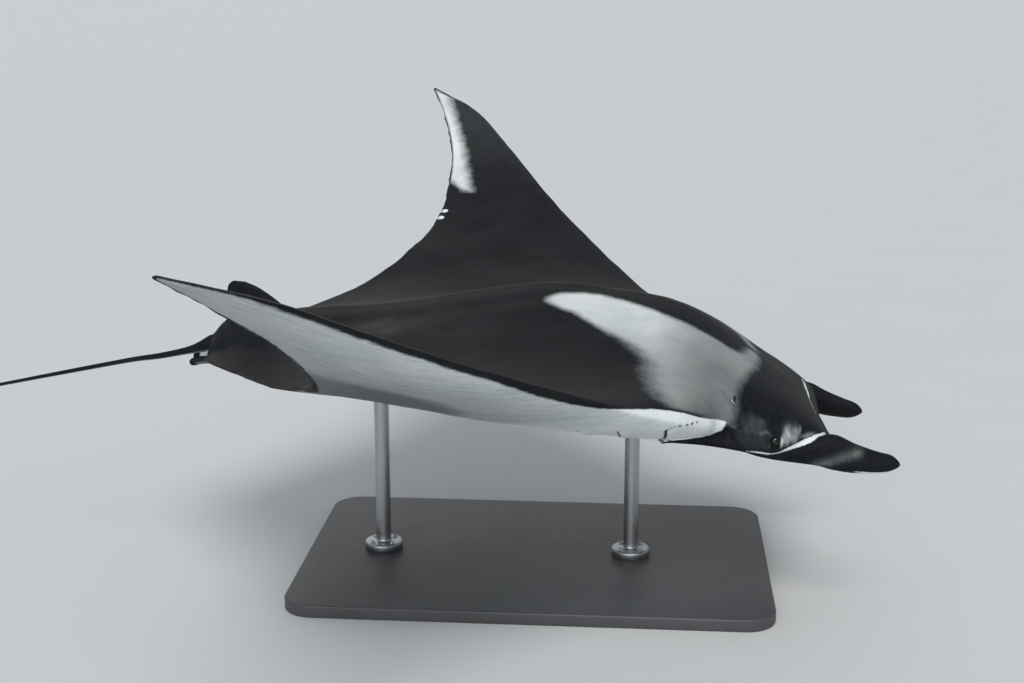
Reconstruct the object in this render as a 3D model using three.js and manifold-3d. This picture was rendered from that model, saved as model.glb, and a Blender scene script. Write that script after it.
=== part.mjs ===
// Giant manta ray, gliding with both wings raised, as a life-size display model on a stand.
// Millimetres. +X is forward, +Y is the ray's left, +Z is up. The origin is the centre of the
// stand's underside.
//
// The ray is first shaped flat: forward and height as in life, sideways measured along the wing.
// At that stage lengths are shares of the disc width until a solid is made of them. bend() then
// raises the wings, and pose() pitches the whole animal and lifts it onto the stand.
import * as THREE from 'three';
import { mergeVertices } from 'three/addons/utils/BufferGeometryUtils.js';
import Module from 'manifold-3d';

const wasm = await Module();
wasm.setup();
const { clamp, degToRad, lerp, smoothstep } = THREE.MathUtils;

// ---------------------------------------------------------------- driving dimensions

const DISC_WIDTH = 4400; // wing tip to wing tip, laid flat
const GAP = 0.3; // clearance between neighbouring pieces
const WELD = 1e-4; // corners closer than this are one
const SIDES = [['left', 1], ['right', -1]];

// How the ray is held.
const WING_RISE = degToRad(26.8); // steepest upward slope of a wing
const RISE_REACH = 0.215; // how far out that slope builds up
const WING_TWIST = degToRad(5.3); // leading edge above trailing edge
const TWIST_FROM = 0.12;
const TWIST_TO = 0.32;
const BEND_FULL = -0.085; // behind this the body bends with the wings
const BEND_NONE = -0.03; // ahead of this the head stays level
const NOSE_DOWN = degToRad(4.3);
const FLYING_HEIGHT = 620; // wing plane above the floor, over the stand's centre
const BALANCE = -0.2; // station over the stand's centre

// Front edge of the disc, from the middle of the snout round the head's side to the wing tip:
// forward, sideways, where the same section meets the back edge, height above the wing plane.
const FRONT_EDGE = [
  [0.005, 0, 0, -0.008],
  [0.007, 0.038, 0.012, -0.008],
  [0.0075, 0.0675, 0.023, -0.007],
  [-0.009, 0.083, 0.033, -0.004],
  [-0.036, 0.0975, 0.043, -0.003],
  [-0.056, 0.0985, 0.053, -0.002],
  [-0.068, 0.0975, 0.063, 0.002],
  [-0.077, 0.1025, 0.073, 0],
  [-0.082, 0.118, 0.092, 0],
  [-0.102, 0.155, 0.135, 0],
  [-0.136, 0.2, 0.19, 0],
  [-0.2035, 0.3, 0.3, 0],
  [-0.2605, 0.4, 0.4, 0],
  [-0.2975, 0.46, 0.46, 0],
  [-0.3445, 0.4985, 0.4985, 0],
];
const SHOULDER_ROW = 8; // the wing's own leading edge starts here
const EDGE_REACH = 0.1; // how far back the front edge's height is felt
// Back edge of the disc, from the tail root to the wing tip: sideways, forward.
const BACK_EDGE = [
  [0, -0.441],
  [0.02, -0.44],
  [0.045, -0.434],
  [0.1, -0.3985],
  [0.17, -0.3514],
  [0.25, -0.318],
  [0.33, -0.31],
  [0.41, -0.3175],
  [0.46, -0.332],
  [0.4985, -0.3465],
];

// How far the back edge curls up: place sideways, height.
const BACK_CURL = [
  [0, 0.0015],
  [0.045, 0.0031],
  [0.08, 0.0036],
  [0.12, 0.0016],
  [0.165, 0.0015],
  [0.22, 0.0062],
  [0.26, 0.003],
  [0.3, 0],
  [0.5, 0],
];

// Thickness of the wings, as if they ran on to the midline: place sideways, above the wing plane, below it.
const WING = [
  [0, 0.024, 0.0115],
  [0.05, 0.0218, 0.0105],
  [0.1, 0.0194, 0.0094],
  [0.15, 0.0145, 0.0083],
  [0.2, 0.008, 0.0075],
  [0.25, 0.0047, 0.0064],
  [0.3, 0.0038, 0.005],
  [0.4, 0.0022, 0.0027],
  [0.46, 0.0012, 0.0013],
  [0.5, 0, 0],
];
const RIM_HALF = 0.0006; // half the thickness of the trailing edge
// Back and belly of the trunk beyond the wing's own thickness: station, height, reach sideways.
const BACK = [
  [0.009, 0, 0.12],
  [-0.03, 0.014, 0.115],
  [-0.06, 0.027, 0.11],
  [-0.1, 0.043, 0.102],
  [-0.16, 0.05, 0.1],
  [-0.2, 0.051, 0.1],
  [-0.25, 0.043, 0.098],
  [-0.3, 0.034, 0.09],
  [-0.38, 0.028, 0.055],
  [-0.441, 0.02, 0.02],
];
const BELLY = [
  [0.009, 0, 0.12],
  [-0.03, 0.0025, 0.13],
  [-0.08, 0.007, 0.14],
  [-0.14, 0.0065, 0.145],
  [-0.2, 0.0045, 0.14],
  [-0.3, 0.001, 0.12],
  [-0.38, 0.002, 0.06],
  [-0.441, 0.008, 0.02],
];
const BACK_POWER = 2; // how squarely the back falls away sideways
const BELLY_POWER = 3.5;
const NOSE_RADIUS = 0.014; // rounding of the trunk's front edge
const END_RADIUS = 0.012; // rounding at the tail root

const EYE_PLACE = [-0.0355, 0.0965, 0.0016];
const EYE_RADIUS = 17;
const MOUTH_HALF_WIDTH = 0.056;
const MOUTH_HEIGHT = -0.0105;
const MOUTH_GAP = 0.0013;
const MOUTH_DEPTH = 0.008;
// Gill slits of one side, front to rear: station and reach of the inner end, then of the outer.
const GILL_SLITS = [
  [-0.117, 0.046, -0.109, 0.155],
  [-0.143, 0.046, -0.139, 0.154],
  [-0.168, 0.045, -0.164, 0.144],
  [-0.192, 0.043, -0.1875, 0.132],
  [-0.214, 0.041, -0.21, 0.115],
];
const SLIT_WIDTH = 0.0016;
const SLIT_DEPTH = 0.0028;

// Limbs are rows of forward, sideways, height, half width, half height, lean.
const CEPHALIC_FIN = [
  [-0.05, 0.0925, -0.0112, 0.0022, 0.0018, 0.15],
  [-0.036, 0.0905, -0.0098, 0.0045, 0.0034, 0.2],
  [-0.02, 0.0865, -0.0086, 0.0058, 0.0064, 0.26],
  [-0.004, 0.082, -0.0071, 0.0066, 0.0102, 0.3],
  [0.007, 0.0795, -0.0078, 0.0068, 0.0122, 0.32],
  [0.0215, 0.078, -0.0113, 0.0064, 0.0099, 0.33],
  [0.037, 0.0757, -0.0137, 0.0052, 0.0072, 0.33],
  [0.047, 0.0737, -0.0135, 0.0038, 0.0052, 0.3],
  [0.0525, 0.0725, -0.0136, 0.0016, 0.002, 0.3],
];
const LEFT_FIN_DROP = 0.0045; // the left one is rolled a little shorter and lower
const LEFT_FIN_SHORTER = 0.0055;
const TAIL = [
  [-0.418, 0, 0.006, 0.012, 0.012, 0],
  [-0.4335, 0, 0.0083, 0.0085, 0.0102, 0],
  [-0.443, 0, 0.0058, 0.0052, 0.0064, 0],
  [-0.4575, 0, -0.0004, 0.0027, 0.0031, 0],
  [-0.48, 0, -0.0072, 0.0022, 0.0023, 0],
  [-0.5025, 0, -0.0126, 0.0019, 0.0019, 0],
  [-0.5556, 0, -0.0278, 0.0016, 0.0016, 0],
  [-0.6016, 0, -0.0412, 0.0013, 0.0013, 0],
  [-0.66, 0, -0.058, 0.001, 0.001, 0],
  [-0.72, 0, -0.072, 0.0006, 0.0006, 0],
];
const PELVIC_FIN = [
  [-0.418, 0.02, -0.003, 0.012, 0.0045, 0.1],
  [-0.431, 0.022, -0.0026, 0.011, 0.0032, 0.1],
  [-0.4405, 0.022, -0.0033, 0.008, 0.0024, 0.1],
  [-0.448, 0.021, -0.0046, 0.0035, 0.0014, 0.1],
];
const CLASPER = [
  [-0.42, 0.0085, -0.0045, 0.004, 0.004, 0],
  [-0.434, 0.0095, -0.0058, 0.0035, 0.0035, 0],
  [-0.444, 0.0105, -0.0074, 0.0029, 0.0029, 0],
  [-0.4515, 0.011, -0.0087, 0.0015, 0.0015, 0],
];
// Dorsal fin, from its foot to its top: height, front, back, half thickness.
const DORSAL_FIN = [
  [0.018, -0.368, -0.4315, 0.0042],
  [0.03, -0.374, -0.4312, 0.004],
  [0.0385, -0.385, -0.4318, 0.0034],
  [0.046, -0.3955, -0.4325, 0.0027],
  [0.052, -0.4055, -0.4318, 0.002],
  [0.0555, -0.414, -0.4288, 0.0012],
];

// Where the body is divided into named pieces.
const FAR = 1; // beyond the ray's reach on any side
const HEAD_CUT = -0.0715;
const TRUNK_CUT = -0.26;
const TRUNK_HALF_WIDTH = 0.135;
const WING_CUTS = [TRUNK_HALF_WIDTH, 0.265, 0.4, FAR];
const WING_LENGTHS = ['inner', 'middle', 'tip'];
const TAIL_CUTS = [FAR, -0.4575, -0.56, -FAR];
const TAIL_LENGTHS = ['base', 'middle', 'tip'];

// Fineness of the faceted surfaces.
const DISC_COLUMNS = 27; // from the midline to a wing tip
const DISC_ROWS = 11; // from the front edge to the back edge

// Stand.
const BASE_LENGTH = 1500;
const BASE_WIDTH = 1000;
const BASE_THICKNESS = 40;
const BASE_CORNER = 90;
const BASE_EDGE = 6;
const ROD_RADIUS = 24;
const ROD_STATIONS = { front: -0.13, rear: -0.315 };
const COLLAR_RADIUS = 62;
const COLLAR_HEIGHT = 28;
const COLLAR_EDGE = 8;

const SKIN = { color: 0x1b2026, roughness: 0.55, metalness: 0 };
const EYE_GLOSS = { color: 0x0b0c0d, roughness: 0.12, metalness: 0 };
const STAND_PAINT = { color: 0x3a3d40, roughness: 0.6, metalness: 0.1 };
const STAND_STEEL = { color: 0x8f9499, roughness: 0.35, metalness: 0.9 };

// ---------------------------------------------------------------- curves

// A smooth curve through [t, value] points, in rising or falling order of t.
function through(points) {
  const rows = points[0][0] < points.at(-1)[0] ? points : [...points].reverse();
  const slopes = rows.slice(1).map((row, i) => (row[1] - rows[i][1]) / (row[0] - rows[i][0]));
  const tangents = rows.map((row, i) => {
    if (i === 0) return slopes[0];
    if (i === rows.length - 1) return slopes[i - 1];
    const before = row[0] - rows[i - 1][0];
    const after = rows[i + 1][0] - row[0];
    return (slopes[i - 1] * after + slopes[i] * before) / (before + after);
  });
  return (t) => {
    let i = 0;
    while (i < rows.length - 2 && t > rows[i + 1][0]) i += 1;
    const span = rows[i + 1][0] - rows[i][0];
    const k = clamp((t - rows[i][0]) / span, 0, 1);
    const start = rows[i][1] * (1 + 2 * k) * (1 - k) ** 2 + tangents[i] * span * k * (1 - k) ** 2;
    const end = rows[i + 1][1] * k * k * (3 - 2 * k) + tangents[i + 1] * span * k * k * (k - 1);
    return start + end;
  };
}

// Curves of each column of a table: by its first column, or by evenly spaced rows from 0 to 1.
const byStation = (rows, k) => through(rows.map((row) => [row[0], row[k]]));
const byRow = (rows) => rows[0].map((_, k) => through(rows.map((row, i) => [i / (rows.length - 1), row[k]])));

const [frontForward, frontSideways, frontPartner, frontHeight] = byRow(FRONT_EDGE);
const leadingEdge = through(FRONT_EDGE.slice(SHOULDER_ROW).map(([forward, sideways]) => [sideways, forward]));
const backForward = through(BACK_EDGE);
const backHeight = byStation(BACK, 1);
const backReach = byStation(BACK, 2);
const bellyHeight = byStation(BELLY, 1);
const bellyReach = byStation(BELLY, 2);
const backCurl = through(BACK_CURL);
const wingAbove = byStation(WING, 1);
const wingBelow = byStation(WING, 2);

// Quarter-round that rises from 0 at an edge to 1 at the given radius.
const roundOff = (distance, radius) => Math.sqrt(1 - (1 - Math.min(distance / radius, 1)) ** 2);

// Half thickness of a fin section at share c of its chord, 1 at its thickest.
function foil(c) {
  return 10 * (0.2969 * Math.sqrt(c) - 0.126 * c - 0.3516 * c ** 2 + 0.2843 * c ** 3 - 0.1036 * c ** 4);
}

const fallAway = (sideways, reach, power) => Math.exp(-((sideways / reach) ** power));

// ---------------------------------------------------------------- pose

const wingSlope = (sideways) => WING_RISE * Math.tanh(sideways / RISE_REACH);

// Sideways and upward travel along the raised wing, by the length along it.
const ARC_STEP = 0.0025;
const ARC_STEPS = 220;
const wingArc = [new THREE.Vector2(0, 0)];
for (let i = 0; i < ARC_STEPS; i += 1) {
  const slope = wingSlope((i + 0.5) * ARC_STEP);
  wingArc.push(new THREE.Vector2(Math.cos(slope), Math.sin(slope)).multiplyScalar(ARC_STEP).add(wingArc[i]));
}

function alongWing(sideways) {
  const steps = sideways / ARC_STEP;
  const i = Math.min(Math.floor(steps), ARC_STEPS - 1);
  return wingArc[i].clone().lerp(wingArc[i + 1], steps - i);
}

// Raises the wings of a flat point.
function bend(point) {
  const forward = point.x / DISC_WIDTH;
  const sideways = Math.abs(point.y) / DISC_WIDTH;
  const share = 1 - smoothstep(forward, BEND_FULL, BEND_NONE);
  const middle = (leadingEdge(sideways) + backForward(sideways)) / 2;
  const twist = Math.tan(WING_TWIST) * smoothstep(sideways, TWIST_FROM, TWIST_TO);
  const height = point.z / DISC_WIDTH + twist * (forward - middle);
  const slope = wingSlope(sideways) * share;
  const arc = alongWing(sideways);
  const out = lerp(sideways, arc.x, share) - Math.sin(slope) * height;
  const up = arc.y * share + Math.cos(slope) * height;
  return point.set(forward, Math.sign(point.y) * out, up).multiplyScalar(DISC_WIDTH);
}

// Turns the nose down about the balance point and lifts the ray onto its stand.
const PITCH_AXIS = new THREE.Vector3(0, 1, 0);
function pose(point) {
  bend(point);
  point.x -= BALANCE * DISC_WIDTH;
  point.applyAxisAngle(PITCH_AXIS, NOSE_DOWN);
  point.z += FLYING_HEIGHT;
  return point;
}

// ---------------------------------------------------------------- solids

function signedVolume(geometry) {
  const { position } = geometry.attributes;
  const corners = [new THREE.Vector3(), new THREE.Vector3(), new THREE.Vector3()];
  let volume = 0;
  for (let i = 0; i < geometry.index.count; i += 3) {
    corners.forEach((corner, k) => corner.fromBufferAttribute(position, geometry.index.getX(i + k)));
    volume += corners[0].dot(corners[1].clone().cross(corners[2])) / 6;
  }
  return volume;
}

// Only positions, shared corners merged, faces pointing out.
function welded(geometry) {
  const bare = geometry.clone();
  bare.deleteAttribute('normal');
  bare.deleteAttribute('uv');
  const merged = mergeVertices(bare, WELD);
  if (signedVolume(merged) < 0) {
    const { array } = merged.index;
    for (let i = 0; i < array.length; i += 3) [array[i], array[i + 1]] = [array[i + 1], array[i]];
  }
  return merged;
}

function solid(geometry) {
  const merged = welded(geometry);
  return new wasm.Manifold(new wasm.Mesh({
    numProp: 3,
    vertProperties: new Float32Array(merged.attributes.position.array),
    triVerts: new Uint32Array(merged.index.array),
  }));
}

function geometryOf(body) {
  const mesh = body.getMesh();
  const geometry = new THREE.BufferGeometry();
  geometry.setAttribute('position', new THREE.BufferAttribute(new Float32Array(mesh.vertProperties), 3));
  geometry.setIndex(new THREE.BufferAttribute(new Uint32Array(mesh.triVerts), 1));
  return geometry;
}

function moved(geometry, move) {
  const copy = geometry.clone();
  const { position } = copy.attributes;
  const point = new THREE.Vector3();
  for (let i = 0; i < position.count; i += 1) {
    move(point.fromBufferAttribute(position, i), i);
    position.setXYZ(i, point.x, point.y, point.z);
  }
  return copy;
}

// The same shape with its surface moved out by the clearance, for cutting its neighbours.
function swollen(geometry) {
  const skin = welded(geometry);
  skin.computeVertexNormals();
  const normal = new THREE.Vector3();
  const grow = (point, i) => {
    point.addScaledVector(normal.fromBufferAttribute(skin.attributes.normal, i), GAP);
  };
  return solid(moved(skin, grow));
}

// Closed body through loops of points, closed at both ends by flat fans.
function loft(loops) {
  const size = loops[0].length;
  const points = loops.flat();
  const index = [];
  for (let i = 0; i < loops.length - 1; i += 1) {
    for (let j = 0; j < size; j += 1) {
      const a = i * size + j;
      const b = i * size + ((j + 1) % size);
      index.push(a, b, b + size, a, b + size, a + size);
    }
  }
  for (const row of [0, loops.length - 1]) {
    const hub = points.length;
    points.push(loops[row].reduce((sum, point) => sum.add(point), new THREE.Vector3()).divideScalar(size));
    for (let j = 0; j < size; j += 1) {
      const a = row * size + j;
      const b = row * size + ((j + 1) % size);
      index.push(hub, row === 0 ? b : a, row === 0 ? a : b);
    }
  }
  const geometry = new THREE.BufferGeometry().setFromPoints(points);
  geometry.setIndex(index);
  return geometry;
}

// A block between two corners given in shares of the disc width.
function block(x0, x1, y0, y1, z0, z1) {
  const low = new THREE.Vector3(x0, y0, z0).multiplyScalar(DISC_WIDTH);
  const high = new THREE.Vector3(x1, y1, z1).multiplyScalar(DISC_WIDTH);
  const size = high.clone().sub(low);
  const middle = high.clone().add(low).divideScalar(2);
  return solid(new THREE.BoxGeometry(size.x, size.y, size.z).translate(middle.x, middle.y, middle.z));
}

// The upright slice of space between two stations and two distances sideways, less the clearance.
const INSET = GAP / 2 / DISC_WIDTH;
const region = (x0, x1, y0, y1) => block(x0 + INSET, x1 - INSET, y0 + INSET, y1 - INSET, -FAR, FAR);

// ---------------------------------------------------------------- flat shapes of the ray

// A point of the disc: s runs from the midline (0) to the tip (1), c from front (0) to back (1).
function discPoint(s, c, side, upper) {
  const start = new THREE.Vector2(frontForward(s), frontSideways(s));
  const end = new THREE.Vector2(backForward(frontPartner(s)), frontPartner(s));
  const length = start.distanceTo(end);
  const { x: forward, y: sideways } = start.lerp(end, c);
  const rim = RIM_HALF * smoothstep(c, 0, 0.1);
  const rounding = roundOff(c * length, NOSE_RADIUS) * roundOff((1 - c) * length, END_RADIUS);
  const back = backHeight(forward) * fallAway(sideways, backReach(forward), BACK_POWER);
  const belly = bellyHeight(forward) * fallAway(sideways, bellyReach(forward), BELLY_POWER);
  const above = wingAbove(sideways) * foil(c) + rim + back * rounding;
  const below = wingBelow(sideways) * foil(c) + rim + belly * rounding;
  const curl = backCurl(sideways) * smoothstep(c, 0.45, 1);
  const middle = frontHeight(s) * (1 - smoothstep(c * length, 0, EDGE_REACH)) + curl;
  const up = middle + (upper ? above : -below);
  return new THREE.Vector3(forward, side * sideways, up).multiplyScalar(DISC_WIDTH);
}

function discGeometry() {
  const loops = [];
  for (let i = -DISC_COLUMNS; i <= DISC_COLUMNS; i += 1) {
    const loop = [];
    for (let j = 0; j <= 2 * DISC_ROWS; j += 1) {
      const upper = j <= DISC_ROWS;
      const row = upper ? j : 2 * DISC_ROWS + 1 - j;
      const c = (1 - Math.cos((Math.PI * row) / DISC_ROWS)) / 2;
      loop.push(discPoint(Math.abs(i) / DISC_COLUMNS, c, Math.sign(i), upper));
    }
    loops.push(loop);
  }
  return loft(loops);
}

// A closed body of oval sections along the rows of a limb, on the left or the right side.
function limb(rows, side, sections, corners) {
  const read = byRow(rows);
  const loops = [];
  for (let i = 0; i <= sections; i += 1) {
    const [forward, sideways, up, halfWidth, halfHeight, lean] = read.map((curve) => curve(i / sections));
    const loop = [];
    for (let j = 0; j < corners; j += 1) {
      const angle = (2 * Math.PI * j) / corners;
      const oval = new THREE.Vector2(halfWidth * Math.cos(angle), halfHeight * Math.sin(angle));
      oval.rotateAround(new THREE.Vector2(), lean);
      const point = new THREE.Vector3(forward, side * (sideways + oval.x), up + oval.y);
      loop.push(point.multiplyScalar(DISC_WIDTH));
    }
    loops.push(loop);
  }
  return loft(loops);
}

function droop([forward, sideways, up, ...rest], i, rows) {
  const t = i / (rows.length - 1);
  return [forward - LEFT_FIN_SHORTER * t ** 2, sideways, up - LEFT_FIN_DROP * (0.5 + 0.5 * t), ...rest];
}

function dorsalFin() {
  const sections = 6;
  const corners = 14;
  const read = byRow(DORSAL_FIN);
  const loops = [];
  for (let i = 0; i <= sections; i += 1) {
    const [up, front, back, half] = read.map((curve) => curve(i / sections));
    const loop = [];
    for (let j = 0; j < corners; j += 1) {
      const angle = (2 * Math.PI * j) / corners;
      const forward = (front + back) / 2 + ((front - back) / 2) * Math.cos(angle);
      loop.push(new THREE.Vector3(forward, half * Math.sin(angle), up).multiplyScalar(DISC_WIDTH));
    }
    loops.push(loop);
  }
  return loft(loops);
}

// A thin upright blade along one gill slit, its top edge a slit's depth inside the belly.
function slitBlade([innerForward, inner, outerForward, outer], side) {
  const ends = [[innerForward, inner], [outerForward, outer]];
  const along = new THREE.Vector2(outerForward - innerForward, outer - inner).normalize();
  const loops = ends.map(([forward, sideways]) => {
    const belly = bellyHeight(forward) * fallAway(sideways, bellyReach(forward), BELLY_POWER);
    const skin = -(wingBelow(sideways) + belly);
    const corners = [[-1, skin + SLIT_DEPTH], [1, skin + SLIT_DEPTH], [1, 2 * skin], [-1, 2 * skin]];
    return corners.map(([across, up]) => new THREE.Vector3(
      forward + (across * along.y * SLIT_WIDTH) / 2,
      side * (sideways - (across * along.x * SLIT_WIDTH) / 2),
      up,
    ).multiplyScalar(DISC_WIDTH));
  });
  return solid(loft(loops));
}

// ---------------------------------------------------------------- the ray

const group = new THREE.Group();

function addMesh(name, geometry, finish) {
  const mesh = new THREE.Mesh(welded(geometry), new THREE.MeshStandardMaterial(finish));
  mesh.name = name;
  group.add(mesh);
}

const addFlesh = (name, body) => addMesh(name, moved(geometryOf(body), pose), SKIN);

const disc = discGeometry();
const discBody = solid(disc);
const discSpace = swollen(disc);

function addHead() {
  const mouth = block(
    frontForward(0) - MOUTH_DEPTH,
    FAR,
    -MOUTH_HALF_WIDTH,
    MOUTH_HALF_WIDTH,
    MOUTH_HEIGHT - MOUTH_GAP / 2,
    MOUTH_HEIGHT + MOUTH_GAP / 2,
  );
  let head = discBody.intersect(region(HEAD_CUT, FAR, -FAR, FAR)).subtract(mouth);
  for (const [name, side] of SIDES) {
    const [forward, sideways, up] = EYE_PLACE;
    const place = new THREE.Vector3(forward, side * sideways, up).multiplyScalar(DISC_WIDTH);
    const ball = (radius) => new THREE.SphereGeometry(radius, 16, 8).translate(place.x, place.y, place.z);
    head = head.subtract(solid(ball(EYE_RADIUS + GAP)));
    addMesh(`eye_${name}`, moved(ball(EYE_RADIUS), pose), EYE_GLOSS);
    const rows = name === 'left' ? CEPHALIC_FIN.map(droop) : CEPHALIC_FIN;
    addFlesh(`cephalic_fin_${name}`, solid(limb(rows, side, 12, 12)).subtract(discSpace));
  }
  addFlesh('head', head);
}

function addTrunk() {
  const side = TRUNK_HALF_WIDTH;
  let front = discBody.intersect(region(TRUNK_CUT, HEAD_CUT, -side, side));
  for (const slit of GILL_SLITS) {
    for (const [, sign] of SIDES) front = front.subtract(slitBlade(slit, sign));
  }
  addFlesh('trunk_front', front);
  addFlesh('trunk_rear', discBody.intersect(region(-FAR, TRUNK_CUT, -side, side)));
}

function addWings() {
  for (const [name, side] of SIDES) {
    WING_LENGTHS.forEach((length, i) => {
      const [near, far] = [side * WING_CUTS[i], side * WING_CUTS[i + 1]];
      const slice = region(-FAR, HEAD_CUT, Math.min(near, far), Math.max(near, far));
      addFlesh(`pectoral_fin_${name}_${length}`, discBody.intersect(slice));
    });
  }
}

function addTail() {
  const tail = limb(TAIL, 1, 27, 8);
  const tailBody = solid(tail).subtract(discSpace);
  const tailSpace = swollen(tail);
  TAIL_LENGTHS.forEach((length, i) => {
    addFlesh(`tail_${length}`, tailBody.intersect(region(TAIL_CUTS[i + 1], TAIL_CUTS[i], -FAR, FAR)));
  });
  addFlesh('dorsal_fin', solid(dorsalFin()).subtract(discSpace).subtract(tailSpace));
  for (const [name, side] of SIDES) {
    const clasper = limb(CLASPER, side, 6, 10);
    addFlesh(`clasper_${name}`, solid(clasper).subtract(discSpace).subtract(tailSpace));
    const pelvic = solid(limb(PELVIC_FIN, side, 6, 14)).subtract(discSpace).subtract(tailSpace);
    addFlesh(`pelvic_fin_${name}`, pelvic.subtract(swollen(clasper)));
  }
}

// ---------------------------------------------------------------- the stand

function addBase() {
  const length = BASE_LENGTH / 2 - BASE_EDGE - BASE_CORNER;
  const width = BASE_WIDTH / 2 - BASE_EDGE - BASE_CORNER;
  const outline = new THREE.Shape();
  [[length, width], [-length, width], [-length, -width], [length, -width]].forEach(([x, y], i) => {
    outline.absarc(x, y, BASE_CORNER, (i * Math.PI) / 2, ((i + 1) * Math.PI) / 2);
  });
  const plate = new THREE.ExtrudeGeometry(outline, {
    depth: BASE_THICKNESS - 2 * BASE_EDGE,
    bevelThickness: BASE_EDGE,
    bevelSize: BASE_EDGE,
    bevelSegments: 1,
    curveSegments: 5,
  });
  addMesh('stand_base', plate.translate(0, 0, BASE_EDGE), STAND_PAINT);
}

// Each rod stands in a collar on the base and is cut off to fit the belly.
function addRods() {
  const posedSpace = swollen(moved(disc, pose));
  const foot = BASE_THICKNESS + GAP;
  const profile = [
    [0, foot],
    [COLLAR_RADIUS, foot],
    [COLLAR_RADIUS, foot + COLLAR_HEIGHT - COLLAR_EDGE],
    [COLLAR_RADIUS - COLLAR_EDGE, foot + COLLAR_HEIGHT],
    [ROD_RADIUS, foot + COLLAR_HEIGHT],
    [ROD_RADIUS, FLYING_HEIGHT],
    [0, FLYING_HEIGHT],
  ].map(([radius, height]) => new THREE.Vector2(radius, height));
  for (const [name, station] of Object.entries(ROD_STATIONS)) {
    const rod = new THREE.LatheGeometry(profile, 20).rotateX(Math.PI / 2);
    rod.translate((station - BALANCE) * DISC_WIDTH, 0, 0);
    addMesh(`stand_rod_${name}`, geometryOf(solid(rod).subtract(posedSpace)), STAND_STEEL);
  }
}

addHead();
addTrunk();
addWings();
addTail();
addBase();
addRods();

export default group;
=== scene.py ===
"""Looks of the giant manta ray display model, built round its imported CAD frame.

The skin is shaped flat, in shares of the ray's disc width: x forward, y sideways along the wing,
z up. place() then raises the wings, turns the nose down and sets the ray on its stand, in metres.
"""

import math

import bmesh
import bpy
import numpy as np
from mathutils.kdtree import KDTree
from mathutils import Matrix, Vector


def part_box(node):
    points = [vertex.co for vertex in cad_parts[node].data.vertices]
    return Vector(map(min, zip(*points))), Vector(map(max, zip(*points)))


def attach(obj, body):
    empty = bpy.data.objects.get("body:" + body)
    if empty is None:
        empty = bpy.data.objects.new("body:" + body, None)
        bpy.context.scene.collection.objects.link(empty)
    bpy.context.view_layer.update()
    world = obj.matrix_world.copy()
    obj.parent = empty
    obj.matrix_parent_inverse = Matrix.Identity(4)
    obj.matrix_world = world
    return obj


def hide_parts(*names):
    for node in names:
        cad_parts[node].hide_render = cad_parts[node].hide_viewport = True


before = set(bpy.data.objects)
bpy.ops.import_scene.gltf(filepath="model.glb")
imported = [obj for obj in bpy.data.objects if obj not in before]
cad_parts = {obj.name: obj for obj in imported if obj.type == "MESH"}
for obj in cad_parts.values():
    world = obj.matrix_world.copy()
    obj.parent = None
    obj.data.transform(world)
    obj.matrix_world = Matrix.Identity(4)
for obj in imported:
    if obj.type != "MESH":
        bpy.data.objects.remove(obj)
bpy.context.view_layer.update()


def thousandths(*rows):
    """A table of numbers given in thousandths, here of the disc width."""
    return np.array(rows) / 1000


# ---- the ray's shape, as in the CAD source

WING_RISE = math.radians(26.8)
RISE_REACH = 0.215
WING_TWIST = math.radians(5.3)
TWIST_FROM, TWIST_TO = 0.12, 0.32
BEND_FULL, BEND_NONE = -0.085, -0.03
NOSE_DOWN = math.radians(4.3)
# Forward, sideways, where the same section meets the back edge, height.
FRONT_EDGE = thousandths(
    (5, 0, 0, -8), (7, 38, 12, -8), (7.5, 67.5, 23, -7), (-9, 83, 33, -4), (-36, 97.5, 43, -3),
    (-56, 98.5, 53, -2), (-68, 97.5, 63, 2), (-77, 102.5, 73, 0), (-82, 118, 92, 0), (-102, 155, 135, 0),
    (-136, 200, 190, 0), (-203.5, 300, 300, 0), (-260.5, 400, 400, 0), (-297.5, 460, 460, 0),
    (-344.5, 498.5, 498.5, 0),
)
SHOULDER_ROW = 8
EDGE_REACH = 0.1  # how far behind the front edge its own height is felt
# Sideways, forward.
BACK_EDGE = thousandths(
    (0, -441), (20, -440), (45, -434), (100, -398.5), (170, -351.4), (250, -318), (330, -310),
    (410, -317.5), (460, -332), (498.5, -346.5),
)
# Sideways, upward curl of the back edge.
BACK_CURL = thousandths(
    (0, 1.5), (45, 3.1), (80, 3.6), (120, 1.6), (165, 1.5), (220, 6.2), (260, 3), (300, 0), (500, 0),
)
# Sideways, thickness above the wing plane, below it.
WING = thousandths(
    (0, 24, 11.5), (50, 21.8, 10.5), (100, 19.4, 9.4), (150, 14.5, 8.3), (200, 8, 7.5), (250, 4.7, 6.4),
    (300, 3.8, 5), (400, 2.2, 2.7), (460, 1.2, 1.3), (500, 0, 0),
)
RIM_HALF = 0.0006
# Station, height, reach sideways.
BACK = thousandths(
    (9, 0, 120), (-30, 14, 115), (-60, 27, 110), (-100, 43, 102), (-160, 50, 100), (-200, 51, 100),
    (-250, 43, 98), (-300, 34, 90), (-380, 28, 55), (-441, 20, 20),
)
BELLY = thousandths(
    (9, 0, 120), (-30, 2.5, 130), (-80, 7, 140), (-140, 6.5, 145), (-200, 4.5, 140), (-300, 1, 120),
    (-380, 2, 60), (-441, 8, 20),
)
BACK_POWER, BELLY_POWER = 2, 3.5
NOSE_RADIUS, END_RADIUS = 0.014, 0.012
EYE_PLACE = np.array((-0.0355, 0.0965, 0.0016))
MOUTH_HALF_WIDTH, MOUTH_HEIGHT = 0.056, -0.0105
# Station and reach of a gill slit's inner end, then of its outer end.
GILL_SLITS = thousandths(
    (-117, 46, -109, 155), (-143, 46, -139, 154), (-168, 45, -164, 144), (-192, 43, -187.5, 132),
    (-214, 41, -210, 115),
)
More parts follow.
